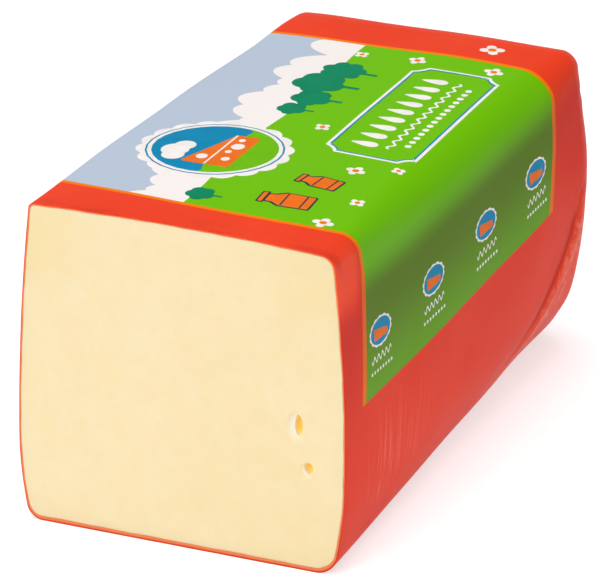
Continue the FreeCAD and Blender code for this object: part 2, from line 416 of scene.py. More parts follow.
    def tucks(self, x: np.ndarray, y: np.ndarray, z: np.ndarray) -> np.ndarray:
        """The sealed seam across the wrapped end and the folds from it to the corners."""
        flat = ramp(y, self.form.length - 6.0, self.form.length - 1.0)
        waver = 1.2 * np.sin(x / 13.0)
        seam = np.exp(-(((z - self.TUCK_HEIGHT - waver) / 1.3) ** 2))
        seam *= ramp(np.abs(x), self.TUCK_REACH + 4.0, self.TUCK_REACH - 6.0)
        fold = np.zeros(x.shape)
        for side in (-1, 1):
            for up in (-1, 1):
                dx, dz = side * x - self.TUCK_START, up * (z - self.TUCK_HEIGHT)
                off = dz - dx * self.TUCK_SLOPE
                inside = ramp(dx, *self.TUCK_FROM) * ramp(dx, *self.TUCK_TO)
                fold += 0.7 * inside * np.exp(-((off / 1.6) ** 2))
                fold -= 0.5 * inside * np.exp(-(((off + 4.5) / 3.0) ** 2))
        return flat * (seam + fold)


def smooth_normals(rings: np.ndarray) -> np.ndarray:
    """Outward directions of a grid of rings that run from the cut to the wrapped end.

    Args:
        rings: Points as (ring, point, xyz).

    Returns:
        Unit vectors of the same shape.
    """
    around = np.roll(rings, -1, axis=1) - np.roll(rings, 1, axis=1)
    along = np.gradient(rings, axis=0)
    normal = np.cross(along, around)
    return normal / np.maximum(np.linalg.norm(normal, axis=2, keepdims=True), 1e-12)


class LoafSurface:
    """The outside of the film as a grid, on which the print and the layers below are placed."""

    WALL_STEP = 1.35
    END_STEPS = 12
    CAP_RINGS = 30
    RIGHT_FROM = 25.0
    RIGHT_HEIGHTS = (8.0, 92.0)
    SMALLEST_GIRTH_RING = 30.0

    def __init__(self, form: LoafForm) -> None:
        """Works out the grid of the outside, its directions and its relief."""
        self.form = form
        count = int(round((form.length - form.end_round) / self.WALL_STEP))
        self.depths = np.linspace(0.0, form.length - form.end_round, count + 1)
        base = self.smooth_rings(Coat())
        relief = Relief(form)
        self.relief = relief.at(base)
        self.crease_shade, self.facet_sheen = relief.crease_shade, relief.facet_sheen
        self.rings = base + smooth_normals(base) * self.relief[..., None]
        self.normals = smooth_normals(self.rings)
        self.girths = self.girth_of(base)
        self.path = self.path_of(base)

    def smooth_rings(self, coat: Coat) -> np.ndarray:
        """All rings of a surface that lies a coat below the outside, without relief."""
        wall = self.form.wall(self.depths, coat)
        end = self.form.end(self.END_STEPS, self.CAP_RINGS, coat)
        return np.concatenate([wall, end])

    def layer(self, coat: Coat) -> np.ndarray:
        """All rings of a surface that lies a coat below the outside and follows its relief."""
        base = self.smooth_rings(coat)
        return base + smooth_normals(base) * self.relief[..., None]

    @staticmethod
    def girth_of(rings: np.ndarray) -> np.ndarray:
        """Distance round each ring from the middle of the top, positive down the right side."""
        steps = np.linalg.norm(np.roll(rings, -1, axis=1) - rings, axis=2)
        walked = np.concatenate([np.zeros((len(rings), 1)), np.cumsum(steps, axis=1)[:, :-1]], 1)
        result = np.empty_like(walked)
        for k, ring in enumerate(rings):
            if ring[:, 0].max() < LoafSurface.SMALLEST_GIRTH_RING:
                result[k] = result[k - 1]
                continue
            height = ring[:, 2]
            upper = height > height.mean()
            crossing = np.where(upper[:-1] & (ring[:-1, 0] > 0) & (ring[1:, 0] <= 0))[0][0]
            x0, x1 = ring[crossing, 0], ring[crossing + 1, 0]
            share = x0 / (x0 - x1) if x0 != x1 else 0.0
            top = walked[k, crossing] + share * (walked[k, crossing + 1] - walked[k, crossing])
            result[k] = top - walked[k]
        return result

    def inner_picks(self, count: int) -> list:
        """Numbers of the rings, out of a count, that the coarser surfaces inside are made of."""
        picks = list(range(1, len(self.depths), 2))
        return picks + list(range(picks[-1] + 1, count, 2))

    @staticmethod
    def path_of(rings: np.ndarray) -> np.ndarray:
        """Distance from the cut along the surface, for each ring."""
        steps = np.linalg.norm(np.diff(rings, axis=0), axis=2).mean(axis=1)
        return np.concatenate([[0.0], np.cumsum(steps)])

    def place(self, girth: float, depth: float, lift: float) -> np.ndarray:
        """A point over the outside of the film.

        Args:
            girth: Distance round from the middle of the top.
            depth: Distance from the cut.
            lift: Height over the film.

        Returns:
            The point in the row frame, in metres.
        """
        last = len(self.depths) - 1
        k = int(np.clip(np.searchsorted(self.depths, depth) - 1, 0, last - 1))
        share = (depth - self.depths[k]) / (self.depths[k + 1] - self.depths[k])
        total = np.zeros(3)
        for ring, weight in ((k, 1.0 - share), (k + 1, share)):
            girths = self.girths[ring][::-1]
            for axis in range(3):
                spot = np.interp(girth, girths, self.rings[ring, ::-1, axis])
                out = np.interp(girth, girths, self.normals[ring, ::-1, axis])
                total[axis] += weight * (spot + out * lift)
        return in_row_frame(total, self.form.length)

    def girth_at_height(self, depth: float, height: float) -> float:
        """The girth at which the right side reaches a height."""
        k = int(np.argmin(np.abs(self.depths - depth)))
        ring = self.rings[k]
        low, high = self.RIGHT_HEIGHTS
        right = (ring[:, 0] > self.RIGHT_FROM) & (ring[:, 2] > low) & (ring[:, 2] < high)
        return float(np.interp(height, ring[right, 2], self.girths[k][right]))


def in_row_frame(points: np.ndarray, length: float) -> np.ndarray:
    """Points counted from the cut in millimetres, in the row frame in metres."""
    return (points - np.array([0.0, length / 2.0, 0.0])) * MM


# ---- Modelling helpers ----


def clear_selection() -> None:
    """Nothing is selected afterwards."""
    bpy.ops.object.select_all(action="DESELECT")


def pick(*objects: Thing) -> None:
    """Only these objects are selected afterwards, and the first is active."""
    clear_selection()
    for thing in objects:
        thing.select_set(True)
    bpy.context.view_layer.objects.active = objects[0]


def added(name: str) -> Thing:
    """The object that an operator has just added, under a new name."""
    thing = bpy.context.active_object
    thing.name = name
    thing.data.name = name
    return thing


def apply_place(thing: Thing) -> None:
    """Moves the object's place, turn and size into its mesh."""
    pick(thing)
    bpy.ops.object.transform_apply(location=True, rotation=True, scale=True)


def join(name: str, things: Sequence[Thing]) -> Thing:
    """Several meshes as one object."""
    pick(*things)
    if len(things) > 1:
        bpy.ops.object.join()
    return added(name)


def read_points(mesh: bpy.types.Mesh) -> np.ndarray:
    """The vertices of a mesh as rows of xyz."""
    flat = np.empty(len(mesh.vertices) * 3, np.float64)
    mesh.vertices.foreach_get("co", flat)
    return flat.reshape(-1, 3)


def write_points(mesh: bpy.types.Mesh, points: np.ndarray) -> None:
    """Gives the vertices of a mesh their places."""
    mesh.vertices.foreach_set("co", np.asarray(points, np.float64).reshape(-1))
    mesh.update()


def outward(thing: Thing) -> None:
    """Turns all faces of a closed mesh outwards."""
    pick(thing)
    bpy.ops.object.mode_set(mode="EDIT")
    bpy.ops.mesh.select_all(action="SELECT")
    bpy.ops.mesh.normals_make_consistent(inside=False)
    bpy.ops.object.mode_set(mode="OBJECT")


def soften(thing: Thing, angle: float) -> None:
    """Smooth shading over edges that are flatter than an angle in degrees."""
    pick(thing)
    bpy.ops.object.shade_smooth_by_angle(angle=math.radians(angle))


def finish_modifier(thing: Thing, name: str) -> None:
    """Applies one modifier."""
    pick(thing)
    bpy.ops.object.modifier_apply(modifier=name)


def store(thing: Thing, name: str, values: np.ndarray) -> None:
    """Stores a number for each vertex on the mesh."""
    layer = thing.data.attributes.new(name, "FLOAT", "POINT")
    layer.data.foreach_set("value", values.astype(np.float32))


@dataclass
class Skin:
    """A closed mesh whose rings of points are given, modelled from a ball."""

    name: str
    rings: np.ndarray
    first: np.ndarray
    last: np.ndarray

    def build(self) -> tuple:
        """Adds the ball and moves its rings to their places.

        Returns:
            The object and, for each vertex, its ring and its place round the ring.
        """
        count, around = self.rings.shape[:2]
        clear_selection()
        bpy.ops.mesh.primitive_uv_sphere_add(segments=around, ring_count=count + 1, radius=1.0)
        thing = added(self.name)
        ball = read_points(thing.data)
        level = np.arctan2(np.hypot(ball[:, 0], ball[:, 1]), ball[:, 2])
        ring = np.round(level * (count + 1) / math.pi).astype(int) - 1
        turn = np.arctan2(ball[:, 1], ball[:, 0]) / (2 * math.pi) * around
        spot = np.round(turn).astype(int) % around
        points = self.rings[np.clip(ring, 0, count - 1), spot]
        points[ring < 0] = self.first
        points[ring >= count] = self.last
        write_points(thing.data, points)
        outward(thing)
        return thing, ring, spot


# ---- Finishes ----


def linear(red: float, green: float, blue: float) -> tuple:
    """A colour of 0 to 255 steps as the linear values that a shader takes."""
    values = []
    for step in (red, green, blue):
        share = step / 255.0
        values.append(share / 12.92 if share <= 0.04045 else ((share + 0.055) / 1.055) ** 2.4)
    return (*values, 1.0)


class Ink(Enum):
    """Colours of the film and of its print."""

    RED = (236, 68, 35)
    SKY = (179, 192, 209)
    CLOUD = (241, 233, 230)
    MEADOW = (108, 186, 0)
    ORANGE = (240, 122, 0)
    WHITE = (243, 236, 232)
    TEAL = (0, 134, 178)
    PINE = (0, 133, 92)
    DARK = (16, 58, 66)
    MARIGOLD = (236, 112, 24)

    @property
    def paint(self) -> tuple:
        """The ink as linear colour."""
        return linear(*self.value)


@dataclass(frozen=True)
class Grain:
    """Soft cloudy noise, and between which of its values patches of it begin and are full.

    The scale is one number, or one for each axis.
    """

    scale: Union[float, tuple]
    detail: float = 2.0
    rough: float = 0.5
    low: float = 0.0
    high: float = 1.0


class Graph:
    """The nodes of one material or sky, with short calls that add and join them."""

    def __init__(self, owner: Union[bpy.types.Material, bpy.types.World]) -> None:
        """Starts with no nodes."""
        self.owner = owner
        owner.use_nodes = True
        self.tree = owner.node_tree
        self.tree.nodes.clear()

    def node(self, kind: str, inputs: Optional[dict] = None, **settings: object) -> bpy.types.Node:
        """Adds a node.

        Args:
            kind: Blender's type name of the node.
            inputs: Values or sockets by input name or number.
            settings: Properties of the node.

        Returns:
            The node.
        """
        made = self.tree.nodes.new(kind)
        for key, value in settings.items():
            setattr(made, key, value)
        for key, value in (inputs or {}).items():
            if isinstance(value, Socket):
                self.tree.links.new(value, made.inputs[key])
            else:
                made.inputs[key].default_value = value
        return made

    def math(self, operation: str, *values: object, clamp: bool = False) -> Socket:
        """The result of one sum on numbers or sockets."""
        made = self.node("ShaderNodeMath", dict(enumerate(values)), operation=operation)
        made.use_clamp = clamp
        return made.outputs[0]

    def product(self, first: object, *others: object) -> Socket:
        """All the values multiplied together."""
        for value in others:
            first = self.math("MULTIPLY", first, value)
        return first

    def scale_and_add(self, value: object, factor: object, offset: object,
                      clamp: bool = False) -> Socket:
        """A value times a factor, plus an offset."""
        return self.math("MULTIPLY_ADD", value, factor, offset, clamp=clamp)

    def blend(self, share: object, a: object, b: object, blend_type: str = "MIX") -> Socket:
        """A colour between a, at share 0, and b or what b makes of a, at share 1."""
        made = self.node("ShaderNodeMix", {0: share, 6: a, 7: b}, data_type="RGBA",
                         blend_type=blend_type)
        return made.outputs[2]

    def step(self, value: object, low: float, high: float) -> Socket:
        """A smooth step of a socket from 0 at low to 1 at high."""
        made = self.node("ShaderNodeMapRange", {0: value, 1: low, 2: high, 3: 0.0, 4: 1.0},
                         interpolation_type="SMOOTHSTEP")
        return made.outputs[0]

    def fall(self, value: object, low: float, high: float) -> Socket:
        """A smooth step of a socket from 1 at low to 0 at high."""
        return self.math("SUBTRACT", 1.0, self.step(value, low, high))

    def window(self, value: object, starts: float, full: float, fades: float,
               ends: float) -> Socket:
        """A smooth rise of a socket to 1 and its fall back to 0."""
        return self.product(self.step(value, starts, full), self.fall(value, fades, ends))

    def place(self) -> Socket:
        """The place on the object, in metres."""
        return self.node("ShaderNodeTexCoord").outputs["Object"]

    def axes(self, vector: object) -> bpy.types.bpy_prop_collection:
        """The x, y and z of a vector."""
        return self.node("ShaderNodeSeparateXYZ", {0: vector}).outputs

    def stored(self, name: str) -> Socket:
        """A number that the mesh stores for each of its points."""
        return self.node("ShaderNodeAttribute", attribute_name=name).outputs["Fac"]

    def noise(self, grain: Grain) -> Socket:
        """Noise from 0 to 1 over the object."""
        vector, scale = self.place(), grain.scale
        if isinstance(scale, tuple):
            vector = self.node("ShaderNodeMapping", {"Vector": vector, "Scale": scale}).outputs[0]
            scale = 1.0
        inputs = {"Vector": vector, "Scale": scale, "Detail": grain.detail,
                  "Roughness": grain.rough}
        return self.node("ShaderNodeTexNoise", inputs).outputs[0]

    def patches(self, grain: Grain) -> Socket:
        """Patches of noise, 1 inside and 0 between them, with soft edges."""
        return self.step(self.noise(grain), grain.low, grain.high)

    def bump(self, height: object, strength: float, distance: float,
             below: Optional[Socket] = None) -> Socket:
        """A bumped direction, over another bump if one is given."""
        inputs = {"Height": height, "Strength": strength, "Distance": distance}
        if below is not None:
            inputs["Normal"] = below
        return self.node("ShaderNodeBump", inputs).outputs[0]

    def surface(self, shader: bpy.types.Node,
                output: str = "ShaderNodeOutputMaterial") -> bpy.types.ID:
        """Ends the graph with a shader.

        Args:
            shader: The node whose first output is the surface.
            output: Blender's type name of the output node.

        Returns:
            The material or world that the graph belongs to.
        """
        self.node(output, {"Surface": shader.outputs[0]})
        return self.owner


class FilmGraph(Graph):
    """The graph of the printed film, with the girth and depth of each point in millimetres."""

    def __init__(self, owner: bpy.types.Material) -> None:
        """Starts with the nodes that read the film's print map."""
        super().__init__(owner)
        spot = self.axes(self.node("ShaderNodeUVMap", uv_map=PRINT_MAP).outputs[0])
        self.girth, self.depth = (self.product(axis, 1 / MM) for axis in spot[:2])


@dataclass(frozen=True)
class FilmGloss:
    """The satin gloss of the shrink film, which its print shares.

    A bump is given as its strength and its distance in metres.
    """

    roughness: float = 0.38
    spread: float = 0.10
    scuff_roughness: float = 0.25
    density: float = 1.12
    soft: Grain = Grain(55.0)
    fine: Grain = Grain(900.0, 3.0, 0.6)
    drawn: Grain = Grain((900.0, 900.0, 45.0))
    soft_bump: tuple = (0.10, 0.0012)
    fine_bump: tuple = (0.05, 0.0002)
    drawn_bump: tuple = (0.10, 0.00025)

    def dress(self, graph: Graph, colour: object, scuffs: object = None) -> bpy.types.Node:
        """Adds the film's shader to a graph.

        Args:
            graph: The material's graph.
            colour: Colour or socket for the film.
            scuffs: A socket that raises the roughness where it is above 0.

        Returns:
            The shader node.
        """
        soft = graph.noise(self.soft)
        rough = graph.scale_and_add(soft, self.spread, self.roughness - self.spread / 2)
        if scuffs is not None:
            rough = graph.scale_and_add(scuffs, self.scuff_roughness, rough)
        normal = graph.bump(soft, *self.soft_bump)
        normal = graph.bump(graph.noise(self.fine), *self.fine_bump, normal)
        normal = graph.bump(graph.noise(self.drawn), *self.drawn_bump, normal)
        return graph.node(
            "ShaderNodeBsdfPrincipled",
            {"Base Color": colour, "Roughness": rough, "Normal": normal, "IOR": self.density},
        )


LOWER_EDGE = ((13.7, 49.0), (152.8, 57.0))


@dataclass(frozen=True)
class PrintBand:
    """Where the fields of colour of the print lie on the film.

    A row of cloud tops is given as its spacing, phase, bluntness and height.
    """

    lower_from: float
    lower_slope: float
    front_line: float = 15.6
    front_tilt: float = -0.027
    front_curve: float = 0.0011
    front_slope: float = -0.109
    back_line: float = 159.3
    back_slope: float = -0.18
    back_set: float = 1.3
    corner: float = 57.0
    corner_before: float = 3.0
    corner_after: float = 6.0
    line_width: float = 1.7
    line_spread: float = 0.9
    left_end: float = -100.0
    horizon: float = -7.0
    horizon_length: float = 88.0
    horizon_swing: float = 1.3
    cloud_foot: float = -15.0
    cloud_rows: tuple = ((30.0, 0.5, 0.7, 7.5), (12.5, 1.1, 0.75, 3.6))
    crisp: float = 0.12

    @classmethod
    def on(cls, surface: LoafSurface) -> "PrintBand":
        """The band whose lower edge passes two (depth, height) points of the right side."""
        (near, near_height), (far, far_height) = LOWER_EDGE
        low = surface.girth_at_height(near, near_height)
        slope = (surface.girth_at_height(far, far_height) - low) / (far - near)
        return cls(lower_from=low - near * slope, lower_slope=slope)


@dataclass(frozen=True)
class PrintedFilm:
    """The red film with its printed sky, clouds and meadow between two orange lines.

    A pair is where a smooth step starts and ends, and four numbers are a rise and a fall: in
    millimetres for girth and depth, and in metres for x, y and z. The three colours that end in
    `painted_shade` are what a colour is multiplied by where the painted shade below the rounded
    top edge is deepest, and the others are reds of 0 to 255 steps. The lit corner red, the lip
    highlight, the crease shade, the sheen beside the creases and the pale streaks are painted
    light and shade as well.
    """

    band: PrintBand
    gloss: FilmGloss = FilmGloss()
    # Painted shade in a band below the rounded top edge: what the red, the picture and the orange
    # lines are multiplied by, and where the band starts and ends.
    red_painted_shade: tuple = (0.84, 0.38, 0.26, 1.0)
    print_painted_shade: tuple = (0.64, 0.38, 0.26, 1.0)
    line_painted_shade: tuple = (0.88, 0.66, 0.10, 1.0)
    painted_shade_starts: tuple = (-3.0, 9.0)
    painted_shade_ends: tuple = (10.0, 42.0)
    painted_shade_loss: float = -0.48
    painted_shade_late: float = 4.0
    painted_shade_late_over: tuple = (8.0, 18.0)
    dull_red: tuple = (230, 62, 33)
    red_patches: Grain = Grain(22.0, 3.0, 0.5, 0.3, 0.7)
    # Painted light: a brighter red at the front of the right top corner, near the cut.
    lit_corner_red: tuple = (255, 77, 42)
    lit_corner_girth: tuple = (44.0, 52.0, 62.0, 72.0)
    lit_corner_depth: tuple = (11.0, 17.0)
    # Darker red in soft patches within a few millimetres of the cut.
    by_cut_dark_red: tuple = (206, 48, 34)
    by_cut_dark: Grain = Grain((60.0, 260.0, 60.0), 3.0, 0.5, 0.48, 0.68)
    by_cut_dark_depth: tuple = (0.5, 9.0)
    by_cut_dark_share: float = 0.55
    # Painted highlight: a light orange along the film's cut lip.
    lip_highlight_orange: tuple = (248, 150, 96)
    lip_highlight_depth: tuple = (-0.55, -0.1)
    lip_highlight_share: float = 0.85
    # Painted sheen on the flats beside the creases.
    sheen_pink: tuple = (246, 146, 122)
    mottle: Grain = Grain((520.0, 330.0, 330.0), 4.0, 0.75, 0.42, 0.66)
    mottle_gain: float = 0.42
    mottle_least: float = 0.12
    # Painted shade along the creases.
    crease_shade_red: tuple = (176, 34, 22)
    crease_shade_share: float = 0.62
    # Painted sheen in fine pale lines on the low front of the right side.
    streak_sheen_pink: tuple = (250, 128, 108)
    streak: Grain = Grain((300.0, 1100.0, 40.0), 3.0, 0.6, 0.50, 0.68)
    streak_x: tuple = (0.03, 0.04)
    streak_y: tuple = (-0.085, -0.068, -0.066, -0.020)
    streak_z: tuple = (0.006, 0.024, 0.026, 0.048)
    streak_share: float = 0.5
    scuff: Grain = Grain((260.0, 260.0, 120.0), 4.0, 0.7, 0.56, 0.7)
    scuff_y: tuple = (0.045, 0.085)
    scuff_z: tuple = (0.045, 0.075)

    def material(self) -> bpy.types.Material:
        """Builds the film's material."""
        graph = FilmGraph(bpy.data.materials.new("printed_film"))
        # Painted shade deepens the red below the rounded top edge, starting lower near the cut.
        late = graph.scale_and_add(graph.step(graph.depth, *self.painted_shade_late_over), self.painted_shade_late,
                                   -self.painted_shade_late)
        red = self.painted_shade(graph, self.ground(graph), self.red_painted_shade, late)
        colour = self.fields(graph, red)
        # The red is darker in soft patches within a few millimetres of the cut.
        by_cut_dark = graph.product(graph.fall(graph.depth, *self.by_cut_dark_depth),
                              graph.patches(self.by_cut_dark), self.by_cut_dark_share)
        colour = graph.blend(by_cut_dark, colour, linear(*self.by_cut_dark_red))
        colour = self.streaks(graph, self.folds(graph, colour))
        # A painted highlight in light orange along the film's cut lip.
        rim = graph.product(graph.fall(graph.depth, *self.lip_highlight_depth), self.lip_highlight_share)
        colour = graph.blend(rim, colour, linear(*self.lip_highlight_orange))
        return graph.surface(self.gloss.dress(graph, colour, self.scuffs(graph)))

    def ground(self, graph: FilmGraph) -> Socket:
        """The red of the film, a little uneven, with painted light that brightens it at the front
        of the right top corner.
        """
        red = graph.blend(graph.patches(self.red_patches), linear(*self.dull_red), Ink.RED.paint)
        # Painted light brightens the red at the front of the right top corner.
        lit_corner = graph.product(graph.window(graph.girth, *self.lit_corner_girth),
                                  graph.fall(graph.depth, *self.lit_corner_depth))
        return graph.blend(lit_corner, red, linear(*self.lit_corner_red))

    def painted_shade(self, graph: FilmGraph, colour: object, deepest: tuple, late: object = 0.0) -> Socket:
        """Painted shade: a colour deepened in a band below the rounded top edge.

        Args:
            graph: The material's graph.
            colour: The colour of the film or of its print.
            deepest: What the colour is multiplied by where it is deepest.
            late: How much sooner round the film the deepening starts, in millimetres.

        Returns:
            The deepened colour.
        """
        girth, corner = graph.math("ADD", graph.girth, late), self.band.corner
        starts, ends = (graph.step(girth, corner + low, corner + high)
                        for low, high in (self.painted_shade_starts, self.painted_shade_ends))
        share = graph.product(starts, graph.scale_and_add(ends, self.painted_shade_loss, 1.0))
        return graph.blend(share, colour, deepest, "MULTIPLY")

    def folds(self, graph: Graph, colour: Socket) -> Socket:
        """Painted shade along the film's folds and a painted sheen on the flats beside them."""
        mottle = graph.scale_and_add(graph.patches(self.mottle), self.mottle_gain,
                                     self.mottle_least)
        # Painted sheen on the flats beside the creases.
        sheen = graph.math("MULTIPLY", graph.stored(FACET_SHEEN), mottle, clamp=True)
        colour = graph.blend(sheen, colour, linear(*self.sheen_pink))
        # Painted shade along the creases.
        dark = graph.math("MULTIPLY", graph.stored(CREASE_SHADE), self.crease_shade_share, clamp=True)
        return graph.blend(dark, colour, linear(*self.crease_shade_red))

    def streaks(self, graph: Graph, colour: Socket) -> Socket:
        """A painted sheen in fine pale lines down the low front of the right side, where the film
        was drawn.
        """
        x, y, z = graph.axes(graph.place())
        share = graph.product(graph.window(y, *self.streak_y), graph.window(z, *self.streak_z),
                              graph.patches(self.streak), graph.step(x, *self.streak_x),
                              self.streak_share)
        return graph.blend(share, colour, linear(*self.streak_sheen_pink))

    def scuffs(self, graph: Graph) -> Socket:
        """Small dull rubs, mostly at the back of the right side."""
        _, y, z = graph.axes(graph.place())
        return graph.product(graph.patches(self.scuff), graph.step(y, *self.scuff_y),
                             graph.fall(z, *self.scuff_z))

    def fields(self, graph: FilmGraph, ground: Socket) -> Socket:
        """The picture over the red, cut off between two orange lines and the two side edges.

        Args:
            graph: The material's graph.
            ground: The colour below the print.

        Returns:
            The printed colour.
        """
        band, girth, depth = self.band, graph.girth, graph.depth
        over_top = graph.math("MINIMUM", girth, band.corner)
        down_side = graph.math("MAXIMUM", graph.math("SUBTRACT", girth, band.corner), 0.0)
        turned = graph.step(girth, band.corner - band.corner_before,
                            band.corner + band.corner_after)
        front = graph.scale_and_add(over_top, band.front_tilt, band.front_line)
        front = graph.scale_and_add(graph.product(over_top, over_top), band.front_curve, front)
        front = graph.scale_and_add(down_side, band.front_slope, front)
        back = graph.scale_and_add(turned, -band.back_set, band.back_line)
        back = graph.scale_and_add(down_side, band.back_slope, back)
        lower = graph.scale_and_add(depth, band.lower_slope, band.lower_from)
        sides = graph.product(self.over(graph, lower, girth),
                              self.over(graph, girth, band.left_end))
        inside = graph.product(self.over(graph, depth, front), self.over(graph, back, depth), sides)
        # Painted shade deepens the picture below the rounded top edge.
        picture = self.painted_shade(graph, self.landscape(graph), self.print_painted_shade)
        colour = graph.blend(inside, ground, picture)
        off_front, off_back = (graph.math("ABSOLUTE", graph.math("SUBTRACT", depth, line))
                               for line in (front, back))
        nearest = graph.math("MINIMUM", off_front, off_back)
        half = graph.scale_and_add(turned, band.line_spread / 2, band.line_width / 2)
        line = graph.product(self.over(graph, half, nearest), sides)
        # Painted shade deepens the orange lines below the rounded top edge.
        return graph.blend(line, colour, self.painted_shade(graph, Ink.ORANGE.paint, self.line_painted_shade))

    def landscape(self, graph: FilmGraph) -> Socket:
        """The sky, the clouds that stand on the meadow, and the meadow, before they are cut."""
        band, girth, depth = self.band, graph.girth, graph.depth
        wave = graph.math("SINE", graph.product(depth, 2 * math.pi / band.horizon_length))
        horizon = graph.scale_and_add(wave, band.horizon_swing, band.horizon)
        cloud = band.cloud_foot
        for spacing, phase, blunt, height in band.cloud_rows:
            swing = graph.math("SINE", graph.scale_and_add(depth, math.pi / spacing, phase))
            puffs = graph.math("POWER", graph.math("ABSOLUTE", swing), blunt)
            cloud = graph.math("SUBTRACT", cloud, graph.product(puffs, height))
        sky = graph.blend(self.over(graph, girth, cloud), Ink.SKY.paint, Ink.CLOUD.paint)
        return graph.blend(self.over(graph, girth, horizon), sky, Ink.MEADOW.paint)

    def over(self, graph: Graph, value: object, edge: object) -> Socket:
        """1 where a value is over an edge and 0 where it is under, with a narrow ramp."""
        return graph.step(graph.math("SUBTRACT", value, edge), -self.band.crisp, self.band.crisp)


@dataclass(frozen=True)
class InkFinish:
    """One solid ink of the print, with the gloss of the film."""

    ink: Ink
    gloss: FilmGloss = FilmGloss()
    thin: float = 0.965
    mottle: Grain = Grain(180.0, 3.0, 0.5, 0.35, 0.65)

    def material(self) -> bpy.types.Material:
        """Builds the ink's material."""
        graph = Graph(bpy.data.materials.new("ink_" + self.ink.name.lower()))
        darker = linear(*(step * self.thin for step in self.ink.value))
        colour = graph.blend(graph.patches(self.mottle), darker, self.ink.paint)
        return graph.surface(self.gloss.dress(graph, colour))


@dataclass(frozen=True)
class CheesePaste:
    """The pale, slightly moist inside of the cheese.

    The last three colours follow each other into an eye, over the pairs of metres in `inward`:
    a painted highlight on the shallow rim of an eye, then painted shade and light through the
    cheese in deeper yellows. The emission in the eyes is a painted glow for light through the
    cheese.
    """

    body: tuple = (254, 233, 190)
    shade: tuple = (253, 230, 183)
    warm: tuple = (253, 224, 160)
    noise_warmth: float = 0.20
    edge_warmth: float = 0.75
    # Into an eye: a painted highlight on its shallow rim, then painted shade and light through the
    # cheese in deeper yellows.
    eye_rim_highlight: tuple = (255, 246, 224)
    eye_shade_yellow: tuple = (255, 226, 140)
    deep: tuple = (255, 217, 84)
    inward: tuple = ((0.0002, 0.0008), (0.0008, 0.0020), (0.0016, 0.0032))
    # A painted glow in the eyes, for light through the cheese.
    glow: float = 0.09
    glow_inward: tuple = (0.0009, 0.0022)
    roughness: float = 0.50
    spread: float = 0.16
    broad: Grain = Grain(26.0, 3.0, 0.55, 0.42, 0.72)
    fine: Grain = Grain(170.0, 3.0, 0.6, 0.3, 0.7)
    drag: Grain = Grain((14.0, 14.0, 150.0), 3.0)
    pores: Grain = Grain(520.0, 4.0, 0.65)
    drag_bump: tuple = (0.18, 0.0006)
    pore_bump: tuple = (0.16, 0.0003)

    def material(self, face: float) -> bpy.types.Material:
        """Builds the cheese's material.

        Args:
            face: The y of the cut face, in metres.

        Returns:
            The material.
        """
        graph = Graph(bpy.data.materials.new("cheese_paste"))
        broad = graph.noise(self.broad)
        by_noise = graph.step(broad, self.broad.low, self.broad.high)
        by_edge = graph.product(graph.stored(RIM_FADE), self.edge_warmth)
        warmth = graph.scale_and_add(by_noise, self.noise_warmth, by_edge, clamp=True)
        colour = graph.blend(graph.patches(self.fine), linear(*self.body), linear(*self.shade))
        colour = graph.blend(warmth, colour, linear(*self.warm))
        inward = graph.math("SUBTRACT", graph.axes(graph.place())[1], face)
        # Painted highlight on the rim of each eye, then painted shade and light through the cheese
        # deeper in.
        for ramp, paint in zip(self.inward, (self.eye_rim_highlight, self.eye_shade_yellow, self.deep)):
            colour = graph.blend(graph.step(inward, *ramp), colour, linear(*paint))
        normal = graph.bump(graph.noise(self.drag), *self.drag_bump)
        normal = graph.bump(graph.noise(self.pores), *self.pore_bump, normal)
        return graph.surface(graph.node("ShaderNodeBsdfPrincipled", {
            "Base Color": colour,
            "Roughness": graph.scale_and_add(broad, self.spread, self.roughness - self.spread / 2),
            "Normal": normal,
            "IOR": 1.42,
            "Subsurface Weight": 0.22,
            "Subsurface Radius": (1.0, 0.55, 0.2),
            "Subsurface Scale": 0.004,
            # Painted glow in the eyes, for light through the cheese.
            "Emission Color": (1.0, 0.30, 0.0, 1.0),
            "Emission Strength": graph.product(graph.step(inward, *self.glow_inward), self.glow),
        }))


# ---- Pieces ----


FILM_COAT = Coat(side=0.6, top=0.6, base=1.4, end=0.9)


@dataclass
class CutLip:
    """The slightly wavy edge of the film where the knife went through."""

    depth: float = 0.10
    round_over: float = 0.12
    thicken: float = 0.22
    reach: float = 1.6
    profile: tuple = ((0.0, 1.0), (0.3, 0.25), (0.5, 0.0), (0.7, 0.25), (1.0, 1.0))
    map_step: float = 0.2

    def back(self, girths: np.ndarray) -> np.ndarray:
        """How far the lip stands back from the cut plane at each girth."""
        wave = np.sin(girths / 3.1) + 0.7 * np.sin(girths / 1.37 + 1.0) + np.sin(girths / 7.9 + 2.0)
        return self.depth * (0.5 + 0.18 * wave)

    def swell(self, girths: np.ndarray, depths: np.ndarray) -> np.ndarray:
        """How much thicker the film is close to the cut, as (ring, point)."""
        wave = np.sin(girths / 2.3 + 0.6) + 0.8 * np.sin(girths / 5.3) + 0.5 * np.sin(girths / 0.97)
        share = np.clip(0.42 + 0.25 * wave, 0.0, 1.0)
        return self.thicken * share[None, :] * np.exp(-depths[:, None] / self.reach)


